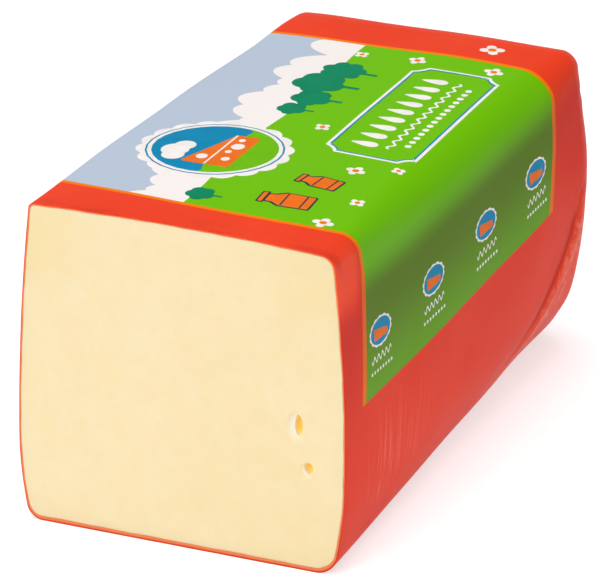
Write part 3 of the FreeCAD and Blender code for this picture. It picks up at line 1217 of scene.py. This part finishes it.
@dataclass
class Film:
    """The red shrink film round the cheese, open at the cut."""

    surface: LoafSurface
    lip: CutLip = field(default_factory=CutLip)
    coat: Coat = FILM_COAT
    smooth_angle: float = 50.0

    def inner_rings(self, extra: float) -> np.ndarray:
        """Rings of the inside of the film, moved in by an extra clearance."""
        coat = Coat(*(size + extra for size in astuple(self.coat)))
        rings = self.surface.layer(coat)
        swell = self.lip.swell(self.surface.girths[0], self.surface.path)
        return rings - smooth_normals(rings) * swell[..., None]

    def build(self, band: PrintBand) -> Thing:
        """Models the film and dresses it.

        Args:
            band: Where the fields of the print lie.

        Returns:
            The film.
        """
        length, outer = self.surface.form.length, self.surface.rings
        inner = self.inner_rings(0.0)
        back = self.lip.back(self.surface.girths[0])
        lip = []
        for share, drop in self.lip.profile:
            ring = inner[0] * (1.0 - share) + outer[0] * share
            ring[:, 1] = back + drop * self.lip.round_over
            lip.append(ring)
        inside = inner[self.surface.inner_picks(len(inner))][::-1]
        rings = in_row_frame(np.concatenate([inside, np.array(lip), outer[1:]]), length)
        first, last = in_row_frame(np.array([inner[-1].mean(axis=0), outer[-1].mean(axis=0)]),
                                   length)
        thing, ring, spot = Skin("film", rings, first, last).build()
        first_outer = len(inside) + len(lip)
        self.unwrap(thing, ring, spot, first_outer)
        outside = np.clip(ring - first_outer + 1, 0, len(outer) - 1)
        # Masks for the painted shade along the creases and the painted sheen beside them.
        store(thing, CREASE_SHADE, self.surface.crease_shade[outside, spot])
        store(thing, FACET_SHEEN, self.surface.facet_sheen[outside, spot])
        soften(thing, self.smooth_angle)
        thing.data.materials.append(PrintedFilm(band).material())
        return thing

    def unwrap(self, thing: Thing, ring: np.ndarray, spot: np.ndarray,
               first_outer: int) -> None:
        """Gives the film its print map of girth and depth.

        Args:
            thing: The film.
            ring: Ring number of each vertex.
            spot: Place round the ring of each vertex.
            first_outer: Number of the first ring on the outside.
        """
        path = self.surface.path
        outer = np.clip(ring - first_outer + 1, 0, len(path) - 1)
        inward = np.clip(first_outer - 1 - ring, 0, len(self.lip.profile) + 1)
        depth = np.where(ring >= first_outer, path[outer], -inward * self.lip.map_step)
        girth = self.surface.girths[outer, spot]
        half = np.abs(self.surface.girths[outer]).max(axis=1)
        mesh = thing.data
        loops = np.empty(len(mesh.loops), int)
        mesh.loops.foreach_get("vertex_index", loops)
        counts = np.empty(len(mesh.polygons), int)
        mesh.polygons.foreach_get("loop_total", counts)
        face = np.repeat(np.arange(len(counts)), counts)
        across = girth[loops]
        high = np.full(len(counts), -np.inf)
        np.maximum.at(high, face, across)
        wraps = (high[face] - across) > half[loops]
        across = np.where(wraps, across + 2 * half[loops], across)
        values = np.column_stack([across, depth[loops]]) * MM
        layer = mesh.uv_layers.active or mesh.uv_layers.new(name=PRINT_MAP)
        layer.name = PRINT_MAP
        layer.data.foreach_set("uv", values.astype(np.float32).reshape(-1))


@dataclass(frozen=True)
class Hollow:
    """One egg-shaped part of an eye: its middle on the cut face, its size and how it leans."""

    x: float
    z: float
    across: float
    tall: float
    deep: float
    middle: float
    lean: float = 0.0
    narrow: float = 0.0
    segments: int = 40
    rings: int = 24

    def cutter(self, name: str, face: float) -> Thing:
        """Models the hollow as a closed egg.

        Args:
            name: Name of the piece.
            face: The y of the cut face, in metres.

        Returns:
            The egg, in its place.
        """
        clear_selection()
        bpy.ops.mesh.primitive_uv_sphere_add(
            segments=self.segments, ring_count=self.rings, radius=1.0,
            rotation=(math.pi / 2, 0.0, 0.0),
        )
        thing = added(name)
        apply_place(thing)
        egg = read_points(thing.data)
        rough = 1.0 + 0.035 * np.sin(5.0 * egg[:, 0] + 3.0 * egg[:, 2]) * np.sin(4.0 * egg[:, 1])
        egg *= rough[:, None]
        width = 1.0 - self.narrow * egg[:, 2]
        x = self.x + egg[:, 0] * self.across / 2 * width + self.lean * (egg[:, 1] + 1.0) / 2
        y = self.middle + egg[:, 1] * self.deep
        z = self.z + egg[:, 2] * self.tall / 2
        write_points(thing.data, np.column_stack([x * MM, face + y * MM, z * MM]))
        outward(thing)
        return thing


@dataclass
class Cheese:
    """The cheese inside the film, with its flat cut face and two eyes."""

    surface: LoafSurface
    film: Film
    clearance: float = 0.02
    edge_round: float = 0.2
    face_rings: int = 26
    rim_width: float = 9.0
    rim_warmth: float = 0.03
    corner_warmth: float = 0.5
    corner_reach: float = 24.0
    warm_corners: tuple = ((-45.0, 92.0), (47.0, 90.0))
    smooth_angle: float = 35.0
    hollows: tuple = (
        Hollow(35.9, 45.0, 7.2, 13.0, 1.9, -1.15, 0.0, 0.10),
        Hollow(36.95, 45.6, 2.7, 7.0, 2.7, 0.2, 0.1, 0.12),
        Hollow(39.5, 31.8, 5.6, 6.6, 1.7, -1.0, 0.0, 0.0),
        Hollow(40.0, 32.5, 2.9, 3.9, 2.5, 0.3, 0.1, -0.15),
    )

    def build(self) -> Thing:
        """Models the cheese and dresses it."""
        length = self.surface.form.length
        face = -length / 2 * MM
        rings = self.film.inner_rings(self.clearance)
        outward_flat = smooth_normals(rings)[0]
        rim = []
        for angle in np.radians([0.0, 22.5, 45.0, 67.5]):
            ring = rings[0] - outward_flat * self.edge_round * (1.0 - math.sin(angle))
            ring[:, 1] = self.edge_round * (1.0 - math.cos(angle))
            rim.append(ring)
        middle = rim[0].mean(axis=0)
        disc = np.array([middle + (rim[0] - middle) * share
                         for share in np.linspace(0.0, 1.0, self.face_rings + 1)[1:-1]])
        disc[:, :, 1] += self.face_waves(disc, rim[0])
        wall = rings[self.surface.inner_picks(len(rings))]
        full = in_row_frame(np.concatenate([disc, np.array(rim), wall]), length)
        first, last = in_row_frame(np.array([middle, rings[-1].mean(axis=0)]), length)
        thing, _, _ = Skin("cheese_body", full, first, last).build()
        self.cut_eyes(thing, face)
        self.mark_rim(thing, rim[0])
        soften(thing, self.smooth_angle)
        thing.data.materials.clear()
        thing.data.materials.append(CheesePaste().material(face))
        return thing

    @staticmethod
    def face_waves(points: np.ndarray, rim: np.ndarray) -> np.ndarray:
        """Faint unevenness of the cut face, gone at its edge."""
        x, z = points[..., 0], points[..., 2]
        waves = 0.07 * np.sin(x / 9.0 + z / 21.0) + 0.05 * np.sin(z / 6.5 - x / 30.0)
        height = rim[:, 2].max()
        edge = np.minimum(np.minimum(50.0 - np.abs(x), z), height - z)
        return (0.06 + waves) * ramp(edge, 0.0, 10.0)

    def cut_eyes(self, thing: Thing, face: float) -> None:
        """Takes the hollows out of the cheese."""
        for number, hollow in enumerate(self.hollows):
            egg = hollow.cutter(f"eye_cutter_{number}", face)
            modifier = thing.modifiers.new("eye", "BOOLEAN")
            modifier.operation = "DIFFERENCE"
            modifier.solver = "EXACT"
            modifier.object = egg
            finish_modifier(thing, "eye")
            bpy.data.objects.remove(egg)

    def mark_rim(self, thing: Thing, rim: np.ndarray) -> None:
        """Stores how near each vertex is to the film, for the warmer colour there."""
        points = read_points(thing.data) / MM
        flat = points[:, [0, 2]]
        outline = rim[:, [0, 2]]
        gap = np.full(len(flat), np.inf)
        for corner in outline:
            gap = np.minimum(gap, np.hypot(*(flat - corner).T))
        near_corner = np.zeros(len(flat))
        for corner in self.warm_corners:
            away = np.hypot(*(flat - corner).T)
            near_corner = np.maximum(near_corner, ramp(away, self.corner_reach, 0.0))
        fade = self.rim_warmth * np.exp(-gap / self.rim_width) + self.corner_warmth * near_corner
        store(thing, RIM_FADE, np.clip(fade, 0, 1))


# ---- Print ----


class Layer(Enum):
    """Order in which the inks lie over each other."""

    BASE = 1
    FIELD = 2
    MOTIF = 3
    DETAIL = 4
    TOP = 5
    WEDGE = 6
    MARK = 7


@dataclass(frozen=True)
class Spot:
    """A place in the print: along the block, up in the picture, and a turn in degrees."""

    along: float
    up: float
    turn: float = 0.0

    def shifted(self, along: float, up: float) -> "Spot":
        """A place beside this one, in this one's turned directions."""
        c, s = math.cos(math.radians(self.turn)), math.sin(math.radians(self.turn))
        return Spot(self.along + along * c - up * s, self.up + along * s + up * c, self.turn)


class Artwork:
    """Draws the print's motifs flat, sorts them by ink and lays them on the film."""

    LIFT = 0.028
    FIRST_LIFT = 0.03
    WALL = 0.11
    CUT_STEP = 2.5
    CUT_OFFSET = 0.37
    SMOOTH_ANGLE = 30.0

    def __init__(self, surface: LoafSurface) -> None:
        """Starts an empty drawing for a film surface."""
        self.surface = surface
        self.drawn = {}

    def keep(self, thing: Thing, spot: Spot, ink: Ink, layer: Layer) -> None:
        """Places a flat shape, whose size is in millimetres, and files it under its ink."""
        thing.scale = (MM, MM, MM)
        thing.rotation_euler = (0.0, 0.0, math.radians(spot.turn))
        thing.location = (spot.along * MM, spot.up * MM,
                          (self.FIRST_LIFT + self.LIFT * layer.value) * MM)
        apply_place(thing)
        self.drawn.setdefault(ink, []).append(thing)

    def rosette(self, spot: Spot, ink: Ink, layer: Layer, radius: float, lobes: int = 0,
                dent: float = 0.0, stretch: float = 1.0, taper: float = 0.0) -> None:
        """Draws a round shape.

        Args:
            spot: Its middle.
            ink: Its ink.
            layer: Its layer.
            radius: Its outer radius.
            lobes: How many rounded lobes its edge has.
            dent: How deep the edge dips between lobes, as a share of the radius.
            stretch: Its width over its height.
            taper: How much narrower it is at its top than at its foot.
        """
        clear_selection()
        count = max(28, lobes * 14)
        bpy.ops.mesh.primitive_circle_add(vertices=count, radius=1.0, fill_type="NGON")
        thing = added("round")
        ring = read_points(thing.data)
        angle = np.arctan2(ring[:, 1], ring[:, 0])
        size = radius * np.ones(count)
        if lobes:
            size *= 1.0 - dent * (1.0 - np.abs(np.sin(lobes * angle / 2.0)) ** 0.8)
        up = np.sin(angle)
        ring[:, 0] = size * np.cos(angle) * stretch * (1.0 - taper * (up + 1.0) / 2.0)
        ring[:, 1] = size * up
        write_points(thing.data, ring)
        self.keep(thing, spot, ink, layer)

    def plate(self, spot: Spot, ink: Ink, layer: Layer, width: float, height: float,
              corner: float, profile: float = 0.5, frame_width: float = 0.0) -> None:
        """Draws a panel with rounded or scooped corners, or only its frame.

        Args:
            spot: Its middle.
            ink: Its ink.
            layer: Its layer.
            width: Size along the block.
            height: Size up the picture.
            corner: Size of its corners.
            profile: Shape of its corners: 0.5 is round and less is scooped.
            frame_width: Width of the frame, or 0 for a full panel.
        """
        clear_selection()
        bpy.ops.mesh.primitive_plane_add(size=1.0)
        thing = added("panel")
        thing.scale = (width, height, 1.0)
        apply_place(thing)
        bpy.ops.object.mode_set(mode="EDIT")
        bpy.ops.mesh.select_all(action="SELECT")
        bpy.ops.mesh.bevel(offset=corner, affect="VERTICES", segments=8, profile=profile)
        if frame_width:
            bpy.ops.mesh.select_all(action="SELECT")
            bpy.ops.mesh.inset(thickness=frame_width)
            bpy.ops.mesh.delete(type="FACE")
        bpy.ops.object.mode_set(mode="OBJECT")
        self.keep(thing, spot, ink, layer)

    def ribbon(self, spot: Spot, ink: Ink, layer: Layer, length: float, width: float,
               swing: float = 0.0, waves: float = 0.0) -> None:
        """Draws a line, straight or wavy.

        Args:
            spot: Its middle.
            ink: Its ink.
            layer: Its layer.
            length: Its length.
            width: Its width.
            swing: How far it swings to each side.
            waves: How many waves it has.
        """
        clear_selection()
        steps = max(2, int(waves * 10))
        bpy.ops.mesh.primitive_grid_add(x_subdivisions=steps, y_subdivisions=1, size=2.0)
        thing = added("line")
        line = read_points(thing.data)
        share = line[:, 0].copy()
        line[:, 0] = share * length / 2
        line[:, 1] = line[:, 1] * width / 2 + swing * np.sin(math.pi * waves * share)
        write_points(thing.data, line)
        self.keep(thing, spot, ink, layer)

    def shape(self, spot: Spot, ink: Ink, layer: Layer, corners: Sequence[tuple],
              rounding: float = 0.0) -> None:
        """Draws a shape with the given corners, counted round either way."""
        clear_selection()
        bpy.ops.mesh.primitive_circle_add(vertices=len(corners), radius=1.0, fill_type="NGON")
        thing = added("shape")
        edge = read_points(thing.data)
        order = np.argsort(np.mod(np.arctan2(edge[:, 1], edge[:, 0]), 2 * math.pi - 1e-4))
        edge[order, :2] = np.array(corners, float)
        write_points(thing.data, edge)
        pick(thing)
        bpy.ops.object.mode_set(mode="EDIT")
        bpy.ops.mesh.select_all(action="SELECT")
        if rounding:
            bpy.ops.mesh.bevel(offset=rounding, affect="VERTICES", segments=4)
            bpy.ops.mesh.select_all(action="SELECT")
        if signed_area(corners) < 0:
            bpy.ops.mesh.flip_normals()
        bpy.ops.object.mode_set(mode="OBJECT")
        self.keep(thing, spot, ink, layer)

    def lay(self) -> list:
        """Joins the shapes of each ink, lays them on the film and gives them their wall.

        Returns:
            One object for each ink.
        """
        pieces = []
        for ink in Ink:
            if ink not in self.drawn:
                continue
            sheet = join("print_" + ink.name.lower(), self.drawn[ink])
            self.divide(sheet)
            flat = read_points(sheet.data) / MM
            placed = [self.surface.place(-up, along, lift) for along, up, lift in flat]
            write_points(sheet.data, np.array(placed))
            wall = sheet.modifiers.new("wall", "SOLIDIFY")
            wall.thickness = self.WALL * MM
            wall.offset = -1.0
            finish_modifier(sheet, "wall")
            soften(sheet, self.SMOOTH_ANGLE)
            sheet.data.materials.clear()
            sheet.data.materials.append(InkFinish(ink).material())
            pieces.append(sheet)
        return pieces

    def divide(self, sheet: Thing) -> None:
        """Cuts a flat sheet into small faces, so that it can follow the film."""
        flat = read_points(sheet.data)
        pick(sheet)
        bpy.ops.object.mode_set(mode="EDIT")
        bpy.ops.mesh.select_all(action="SELECT")
        bpy.ops.mesh.quads_convert_to_tris(quad_method="BEAUTY", ngon_method="BEAUTY")
        for axis in (0, 1):
            low, high = flat[:, axis].min() / MM, flat[:, axis].max() / MM
            normal = (1.0, 0.0, 0.0) if axis == 0 else (0.0, 1.0, 0.0)
            for at in np.arange(math.floor(low), high, self.CUT_STEP) + self.CUT_OFFSET:
                bpy.ops.mesh.select_all(action="SELECT")
                spot = tuple(component * at * MM for component in normal)
                bpy.ops.mesh.bisect(plane_co=spot, plane_no=normal, threshold=1e-7)
        bpy.ops.object.mode_set(mode="OBJECT")


def signed_area(corners: Sequence[tuple]) -> float:
    """Area of a shape, positive where its corners go round anticlockwise."""
    points = np.array(corners, float)
    following = np.roll(points, -1, axis=0)
    return float(np.sum(points[:, 0] * following[:, 1] - following[:, 0] * points[:, 1]) / 2)


def both_halves(right: Sequence[tuple], middle: float, scale: float, grow: float) -> list:
    """A symmetrical shape from the corners of its right half.

    Args:
        right: Corners of the right half, from the foot up.
        middle: Height of the shape's middle.
        scale: Size of the shape.
        grow: How far each corner moves out afterwards.

    Returns:
        All corners, round anticlockwise.
    """
    half = [(x * scale + grow, y * scale + math.copysign(grow, y - middle)) for x, y in right]
    return half + [(-x, y) for x, y in reversed(half)]


@dataclass(frozen=True)
class CountryPicture:
    """The picture of the print: a dairy medallion, a label panel, trees, churns and blossoms."""

    medallion: Spot = Spot(58.0, 14.5)
    medallion_radius: float = 23.5
    puffs: tuple = ((-9.0, 9.5, 3.4, Layer.TOP), (-5.0, 10.6, 4.2, Layer.WEDGE),
                    (-0.6, 9.3, 3.2, Layer.TOP))
    wedge: tuple = ((12.5, -9.5), (12.5, -1.8), (-12.5, 5.8), (-12.5, -9.5))
    wedge_eyes: tuple = ((-7.0, 1.1, 1.7), (4.0, -5.6, 2.0), (-6.5, -6.2, 1.3),
                         (9.0, -4.8, 1.0), (-0.8, -4.6, 1.0))
    panel: Spot = Spot(109.0, -28.0)
    panel_width: float = 76.0
    panel_height: float = 29.0
    trees: tuple = (
        (Spot(134.0, 5.5), 7.2, 7), (Spot(121.0, 8.0), 8.4, 5), (Spot(108.0, 5.0), 6.4, 5),
        (Spot(97.5, 7.0), 4.6, 5), (Spot(24.5, 4.0), 4.4, 5),
    )
    churn_parts: tuple = (
        (((4.3, -7.0), (4.6, 1.6), (2.5, 4.4), (2.5, 6.4)), 0.0, 0.5),
        (((3.5, 7.2), (3.2, 8.4)), 8.0, 0.3),
    )
    churns: tuple = ((Spot(30.5, -21.0, 4.0), 1.0), (Spot(47.0, -24.0, -5.0), 0.82))
    blossoms: tuple = (
        (Spot(20.5, -36.0), 3.3), (Spot(38.5, -39.0), 2.5), (Spot(60.0, -29.5), 3.1),
        (Spot(151.5, -12.0), 3.0), (Spot(152.0, -37.0), 3.2), (Spot(87.0, -7.5), 2.6),
        (Spot(169.0, -30.0), 4.0), (Spot(150.0, 6.0), 2.4), (Spot(66.0, -40.5), 2.2),
    )
    badge_depths: tuple = (26.5, 64.5, 103.0, 140.5)
    badge_rise: float = 18.0

    def draw(self, art: Artwork, band: PrintBand) -> None:
        """Draws the whole picture, with the badges in step with the band's lower edge."""
        self.draw_medallion(art)
        self.draw_panel(art)
        for number, (spot, size, lobes) in enumerate(self.trees):
            layer = Layer.MOTIF if number % 2 else Layer.FIELD
            self.draw_tree(art, spot, size, lobes, layer)
        for spot, scale in self.churns:
            self.draw_churn(art, spot, scale)
        for spot, radius in self.blossoms:
            self.draw_blossom(art, spot, radius)
        for depth in self.badge_depths:
            edge = band.lower_from + band.lower_slope * depth
            self.draw_badge(art, Spot(depth, self.badge_rise - edge))

    def draw_medallion(self, art: Artwork) -> None:
        """A scalloped disc with a wedge of cheese on a meadow, below a small cloud."""
        spot, radius = self.medallion, self.medallion_radius
        art.rosette(spot, Ink.WHITE, Layer.BASE, radius, lobes=18, dent=0.07)
        art.rosette(spot, Ink.TEAL, Layer.FIELD, radius * 0.88)
        art.rosette(spot, Ink.WHITE, Layer.MOTIF, radius * 0.855)
        inner = radius * 0.80
        rise = [(inner * math.cos(a), inner * math.sin(a))
                for a in np.linspace(math.radians(188), math.radians(352), 30)]
        hill = [(x, -0.16 * inner + 2.2 * math.cos((x + 4.0) / inner * 2.4))
                for x in np.linspace(rise[-1][0], rise[0][0], 24)[1:-1]]
        art.rosette(spot, Ink.TEAL, Layer.DETAIL, inner)
        art.shape(spot, Ink.MEADOW, Layer.TOP, rise + hill)
        for along, up, size, layer in self.puffs:
            art.rosette(spot.shifted(along, up), Ink.WHITE, layer, size, stretch=1.1)
        art.shape(spot, Ink.MARIGOLD, Layer.WEDGE, self.wedge, 1.2)
        art.ribbon(spot.shifted(0.0, -1.9), Ink.WHITE, Layer.MARK, 24.6, 0.55)
        for along, up, size in self.wedge_eyes:
            art.rosette(spot.shifted(along, up), Ink.WHITE, Layer.MARK, size, stretch=1.15)

    def draw_panel(self, art: Artwork) -> None:
        """A framed panel with scooped corners, filled with rows of drops and dots."""
        spot = self.panel
        art.plate(spot, Ink.WHITE, Layer.BASE, self.panel_width, self.panel_height, 4.2, 0.16, 1.5)
        art.plate(spot, Ink.TEAL, Layer.FIELD, self.panel_width - 1.9, self.panel_height - 1.9,
                  3.9, 0.16, 0.55)
        for number in range(9):
            place = spot.shifted(-28.0 + 7.0 * number, 4.4)
            art.rosette(place, Ink.WHITE, Layer.BASE, 4.3, stretch=0.62, taper=0.75)
        art.ribbon(spot.shifted(0.0, -3.4), Ink.WHITE, Layer.BASE, 58.0, 0.9, 0.8, 12.0)
        for number in range(15):
            place = spot.shifted(-24.5 + 3.5 * number, -8.0)
            art.rosette(place, Ink.WHITE, Layer.BASE, 1.05)

    def draw_tree(self, art: Artwork, spot: Spot, size: float, lobes: int,
                  layer: Layer) -> None:
        """A round-crowned tree, its crown on another layer than the crowns beside it."""
        art.ribbon(Spot(spot.along, spot.up - size * 1.1, 90.0), Ink.PINE, Layer.BASE,
                   size * 0.9, size * 0.2)
        art.rosette(spot, Ink.PINE, layer, size, lobes=lobes, dent=0.2, stretch=1.05)

    def draw_churn(self, art: Artwork, spot: Spot, scale: float) -> None:
        """A milk churn with a dark outline."""
        for ink, layer, grow in ((Ink.DARK, Layer.BASE, 0.55), (Ink.MARIGOLD, Layer.FIELD, 0.0)):
            for right, middle, rounding in self.churn_parts:
                corners = both_halves(right, middle, scale, grow)
                art.shape(spot, ink, layer, corners, rounding)
        for height in (1.2, -4.6):
            art.ribbon(spot.shifted(0.0, height * scale), Ink.DARK, Layer.MOTIF,
                       8.6 * scale, 0.5)

    def draw_blossom(self, art: Artwork, spot: Spot, radius: float) -> None:
        """A four-leaved white blossom with an orange middle."""
        turned = Spot(spot.along, spot.up, 40.0 * radius)
        art.rosette(turned, Ink.WHITE, Layer.BASE, radius, lobes=4, dent=0.55)
        art.rosette(spot, Ink.ORANGE, Layer.FIELD, radius * 0.34)

    def draw_badge(self, art: Artwork, spot: Spot) -> None:
        """A small oval badge with a wedge, and a wave and dots below it."""
        art.rosette(spot, Ink.WHITE, Layer.BASE, 4.6, lobes=14, dent=0.08, stretch=1.7)
        art.rosette(spot, Ink.TEAL, Layer.FIELD, 3.9, stretch=1.75)
        art.shape(spot.shifted(0.0, -0.4), Ink.MARIGOLD, Layer.MOTIF,
                  [(4.6, -1.7), (4.6, 0.2), (-4.6, 2.0), (-4.6, -1.7)], 0.4)
        art.ribbon(spot.shifted(0.0, -7.6), Ink.WHITE, Layer.BASE, 14.0, 0.7, 0.9, 5.0)
        for number in range(8):
            art.rosette(spot.shifted(-7.0 + 2.0 * number, -11.4), Ink.WHITE, Layer.BASE, 0.55)


# ---- Studio ----


@dataclass(frozen=True)
class Softbox:
    """A flat lamp: its place, target, width and height in metres, its power and its spread."""

    name: str
    place: tuple
    target: tuple
    width: float
    height: float
    power: float
    spread: float = 180.0

    def hang(self) -> Thing:
        """Adds the lamp."""
        light = bpy.data.lights.new(self.name, "AREA")
        light.shape = "RECTANGLE"
        light.size = self.width
        light.size_y = self.height
        light.energy = self.power
        light.spread = math.radians(self.spread)
        lamp = bpy.data.objects.new(self.name, light)
        bpy.context.scene.collection.objects.link(lamp)
        lamp.location = self.place
        way = Vector(self.target) - Vector(self.place)
        lamp.rotation_euler = way.to_track_quat("-Z", "Y").to_euler()
        return lamp


@dataclass(frozen=True)
class Viewpoint:
    """The camera: its place in metres, its directions in radians and its lens."""

    place: tuple = (0.5053, -1.1777, 0.5939)
    yaw: float = -0.40824
    pitch: float = 0.40669
    roll: float = -0.0034
    lens: float = 274.4
    sensor: float = 36.0

    def set_up(self) -> Thing:
        """Adds the camera and makes it the scene's."""
        data = bpy.data.cameras.new("camera")
        data.lens = self.lens
        data.sensor_width = self.sensor
        data.sensor_fit = "HORIZONTAL"
        data.clip_start = 0.05
        data.clip_end = 30.0
        camera = bpy.data.objects.new("camera", data)
        bpy.context.scene.collection.objects.link(camera)
        stance = Matrix.Translation(Vector(self.place))
        for angle, axis in ((-self.yaw, "Z"), (math.pi / 2 - self.pitch, "X"), (self.roll, "Z")):
            stance = stance @ Matrix.Rotation(angle, 4, axis)
        camera.matrix_world = stance
        bpy.context.scene.camera = camera
        return camera


@dataclass
class Studio:
    """Plain pale floor, soft lamps and the camera."""

    floor_size: float = 60.0
    floor_tones: tuple = (0.66, 0.68)
    floor_lift: float = 0.56
    sky_tone: float = 0.24
    horizon_tone: float = 0.95
    horizon_rise: tuple = (0.07, 0.2)
    lamps: tuple = (
        Softbox("overhead", (-0.15, 0.1, 1.7), (0.0, 0.0, 0.05), 1.5, 1.5, 19.5),
        Softbox("front_left", (-0.55, -1.75, 0.95), (0.0, -0.05, 0.06), 0.9, 0.9, 17.8),
        Softbox("low_right", (0.70, -0.02, 0.12), (0.05, -0.02, 0.012), 0.46, 0.05, 0.038, 17.0),
        Softbox("upper_right", (0.80, -0.30, 0.75), (0.05, -0.05, 0.08), 0.5, 0.5, 1.80),
    )
    viewpoint: Viewpoint = Viewpoint()

    def build(self) -> None:
        """Sets up the floor, the world, the lamps and the camera."""
        clear_selection()
        bpy.ops.mesh.primitive_plane_add(size=self.floor_size)
        floor = added("floor")
        floor.data.materials.append(self.floor_material())
        self.set_world()
        for lamp in self.lamps:
            lamp.hang()
        self.viewpoint.set_up()
        bpy.context.scene.view_settings.view_transform = "Standard"

    @staticmethod
    def seen(graph: Graph) -> Socket:
        """1 for rays that show the background itself or its mirror image."""
        rays = graph.node("ShaderNodeLightPath").outputs
        either = graph.math("MAXIMUM", rays["Is Camera Ray"], rays["Is Glossy Ray"])
        return graph.math("MAXIMUM", either, rays["Is Transmission Ray"])

    def floor_material(self) -> bpy.types.Material:
        """A pale floor that shows as white around the shadow."""
        graph = Graph(bpy.data.materials.new("floor_paper"))
        darker, lighter = ((tone, tone, tone, 1.0) for tone in self.floor_tones)
        colour = graph.blend(graph.noise(Grain(30.0, 3.0)), darker, lighter)
        paper = graph.node("ShaderNodeBsdfDiffuse", {"Color": colour})
        lift = graph.math("MULTIPLY", self.seen(graph), self.floor_lift)
        glow = graph.node("ShaderNodeEmission", {"Color": WHITE, "Strength": lift})
        both = graph.node("ShaderNodeAddShader", {0: paper.outputs[0], 1: glow.outputs[0]})
        return graph.surface(both)

    def set_world(self) -> None:
        """A dim sky with a band of white round the horizon."""
        graph = Graph(bpy.data.worlds.new("studio"))
        way = graph.node("ShaderNodeTexCoord").outputs["Generated"]
        strength = graph.scale_and_add(graph.fall(graph.axes(way)[2], *self.horizon_rise),
                                       self.horizon_tone - self.sky_tone, self.sky_tone)
        back = graph.node("ShaderNodeBackground", {"Color": WHITE, "Strength": strength})
        bpy.context.scene.world = graph.surface(back, "ShaderNodeOutputWorld")


# ---- Everything in order ----


def report(piece: Thing) -> None:
    """Says how large a finished piece is."""
    LOG.info("%s: %d faces, %s m", piece.name, len(piece.data.polygons),
             " x ".join(f"{size:.4f}" for size in piece.dimensions))


def main() -> None:
    """Builds the cheese, the film, the print and the studio."""
    logging.basicConfig(level=logging.INFO, format="%(name)s: %(message)s")
    surface = LoafSurface(LoafForm())
    band = PrintBand.on(surface)

    film_maker = Film(surface)
    film = film_maker.build(band)
    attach(film, "root")
    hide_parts("red_film")
    report(film)

    cheese = Cheese(surface, film_maker).build()
    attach(cheese, "root")
    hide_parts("cheese")
    report(cheese)

    art = Artwork(surface)
    CountryPicture().draw(art, band)
    for sheet in art.lay():
        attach(sheet, "root")
        report(sheet)

    Studio().build()


if __name__ == "__main__":
    main()
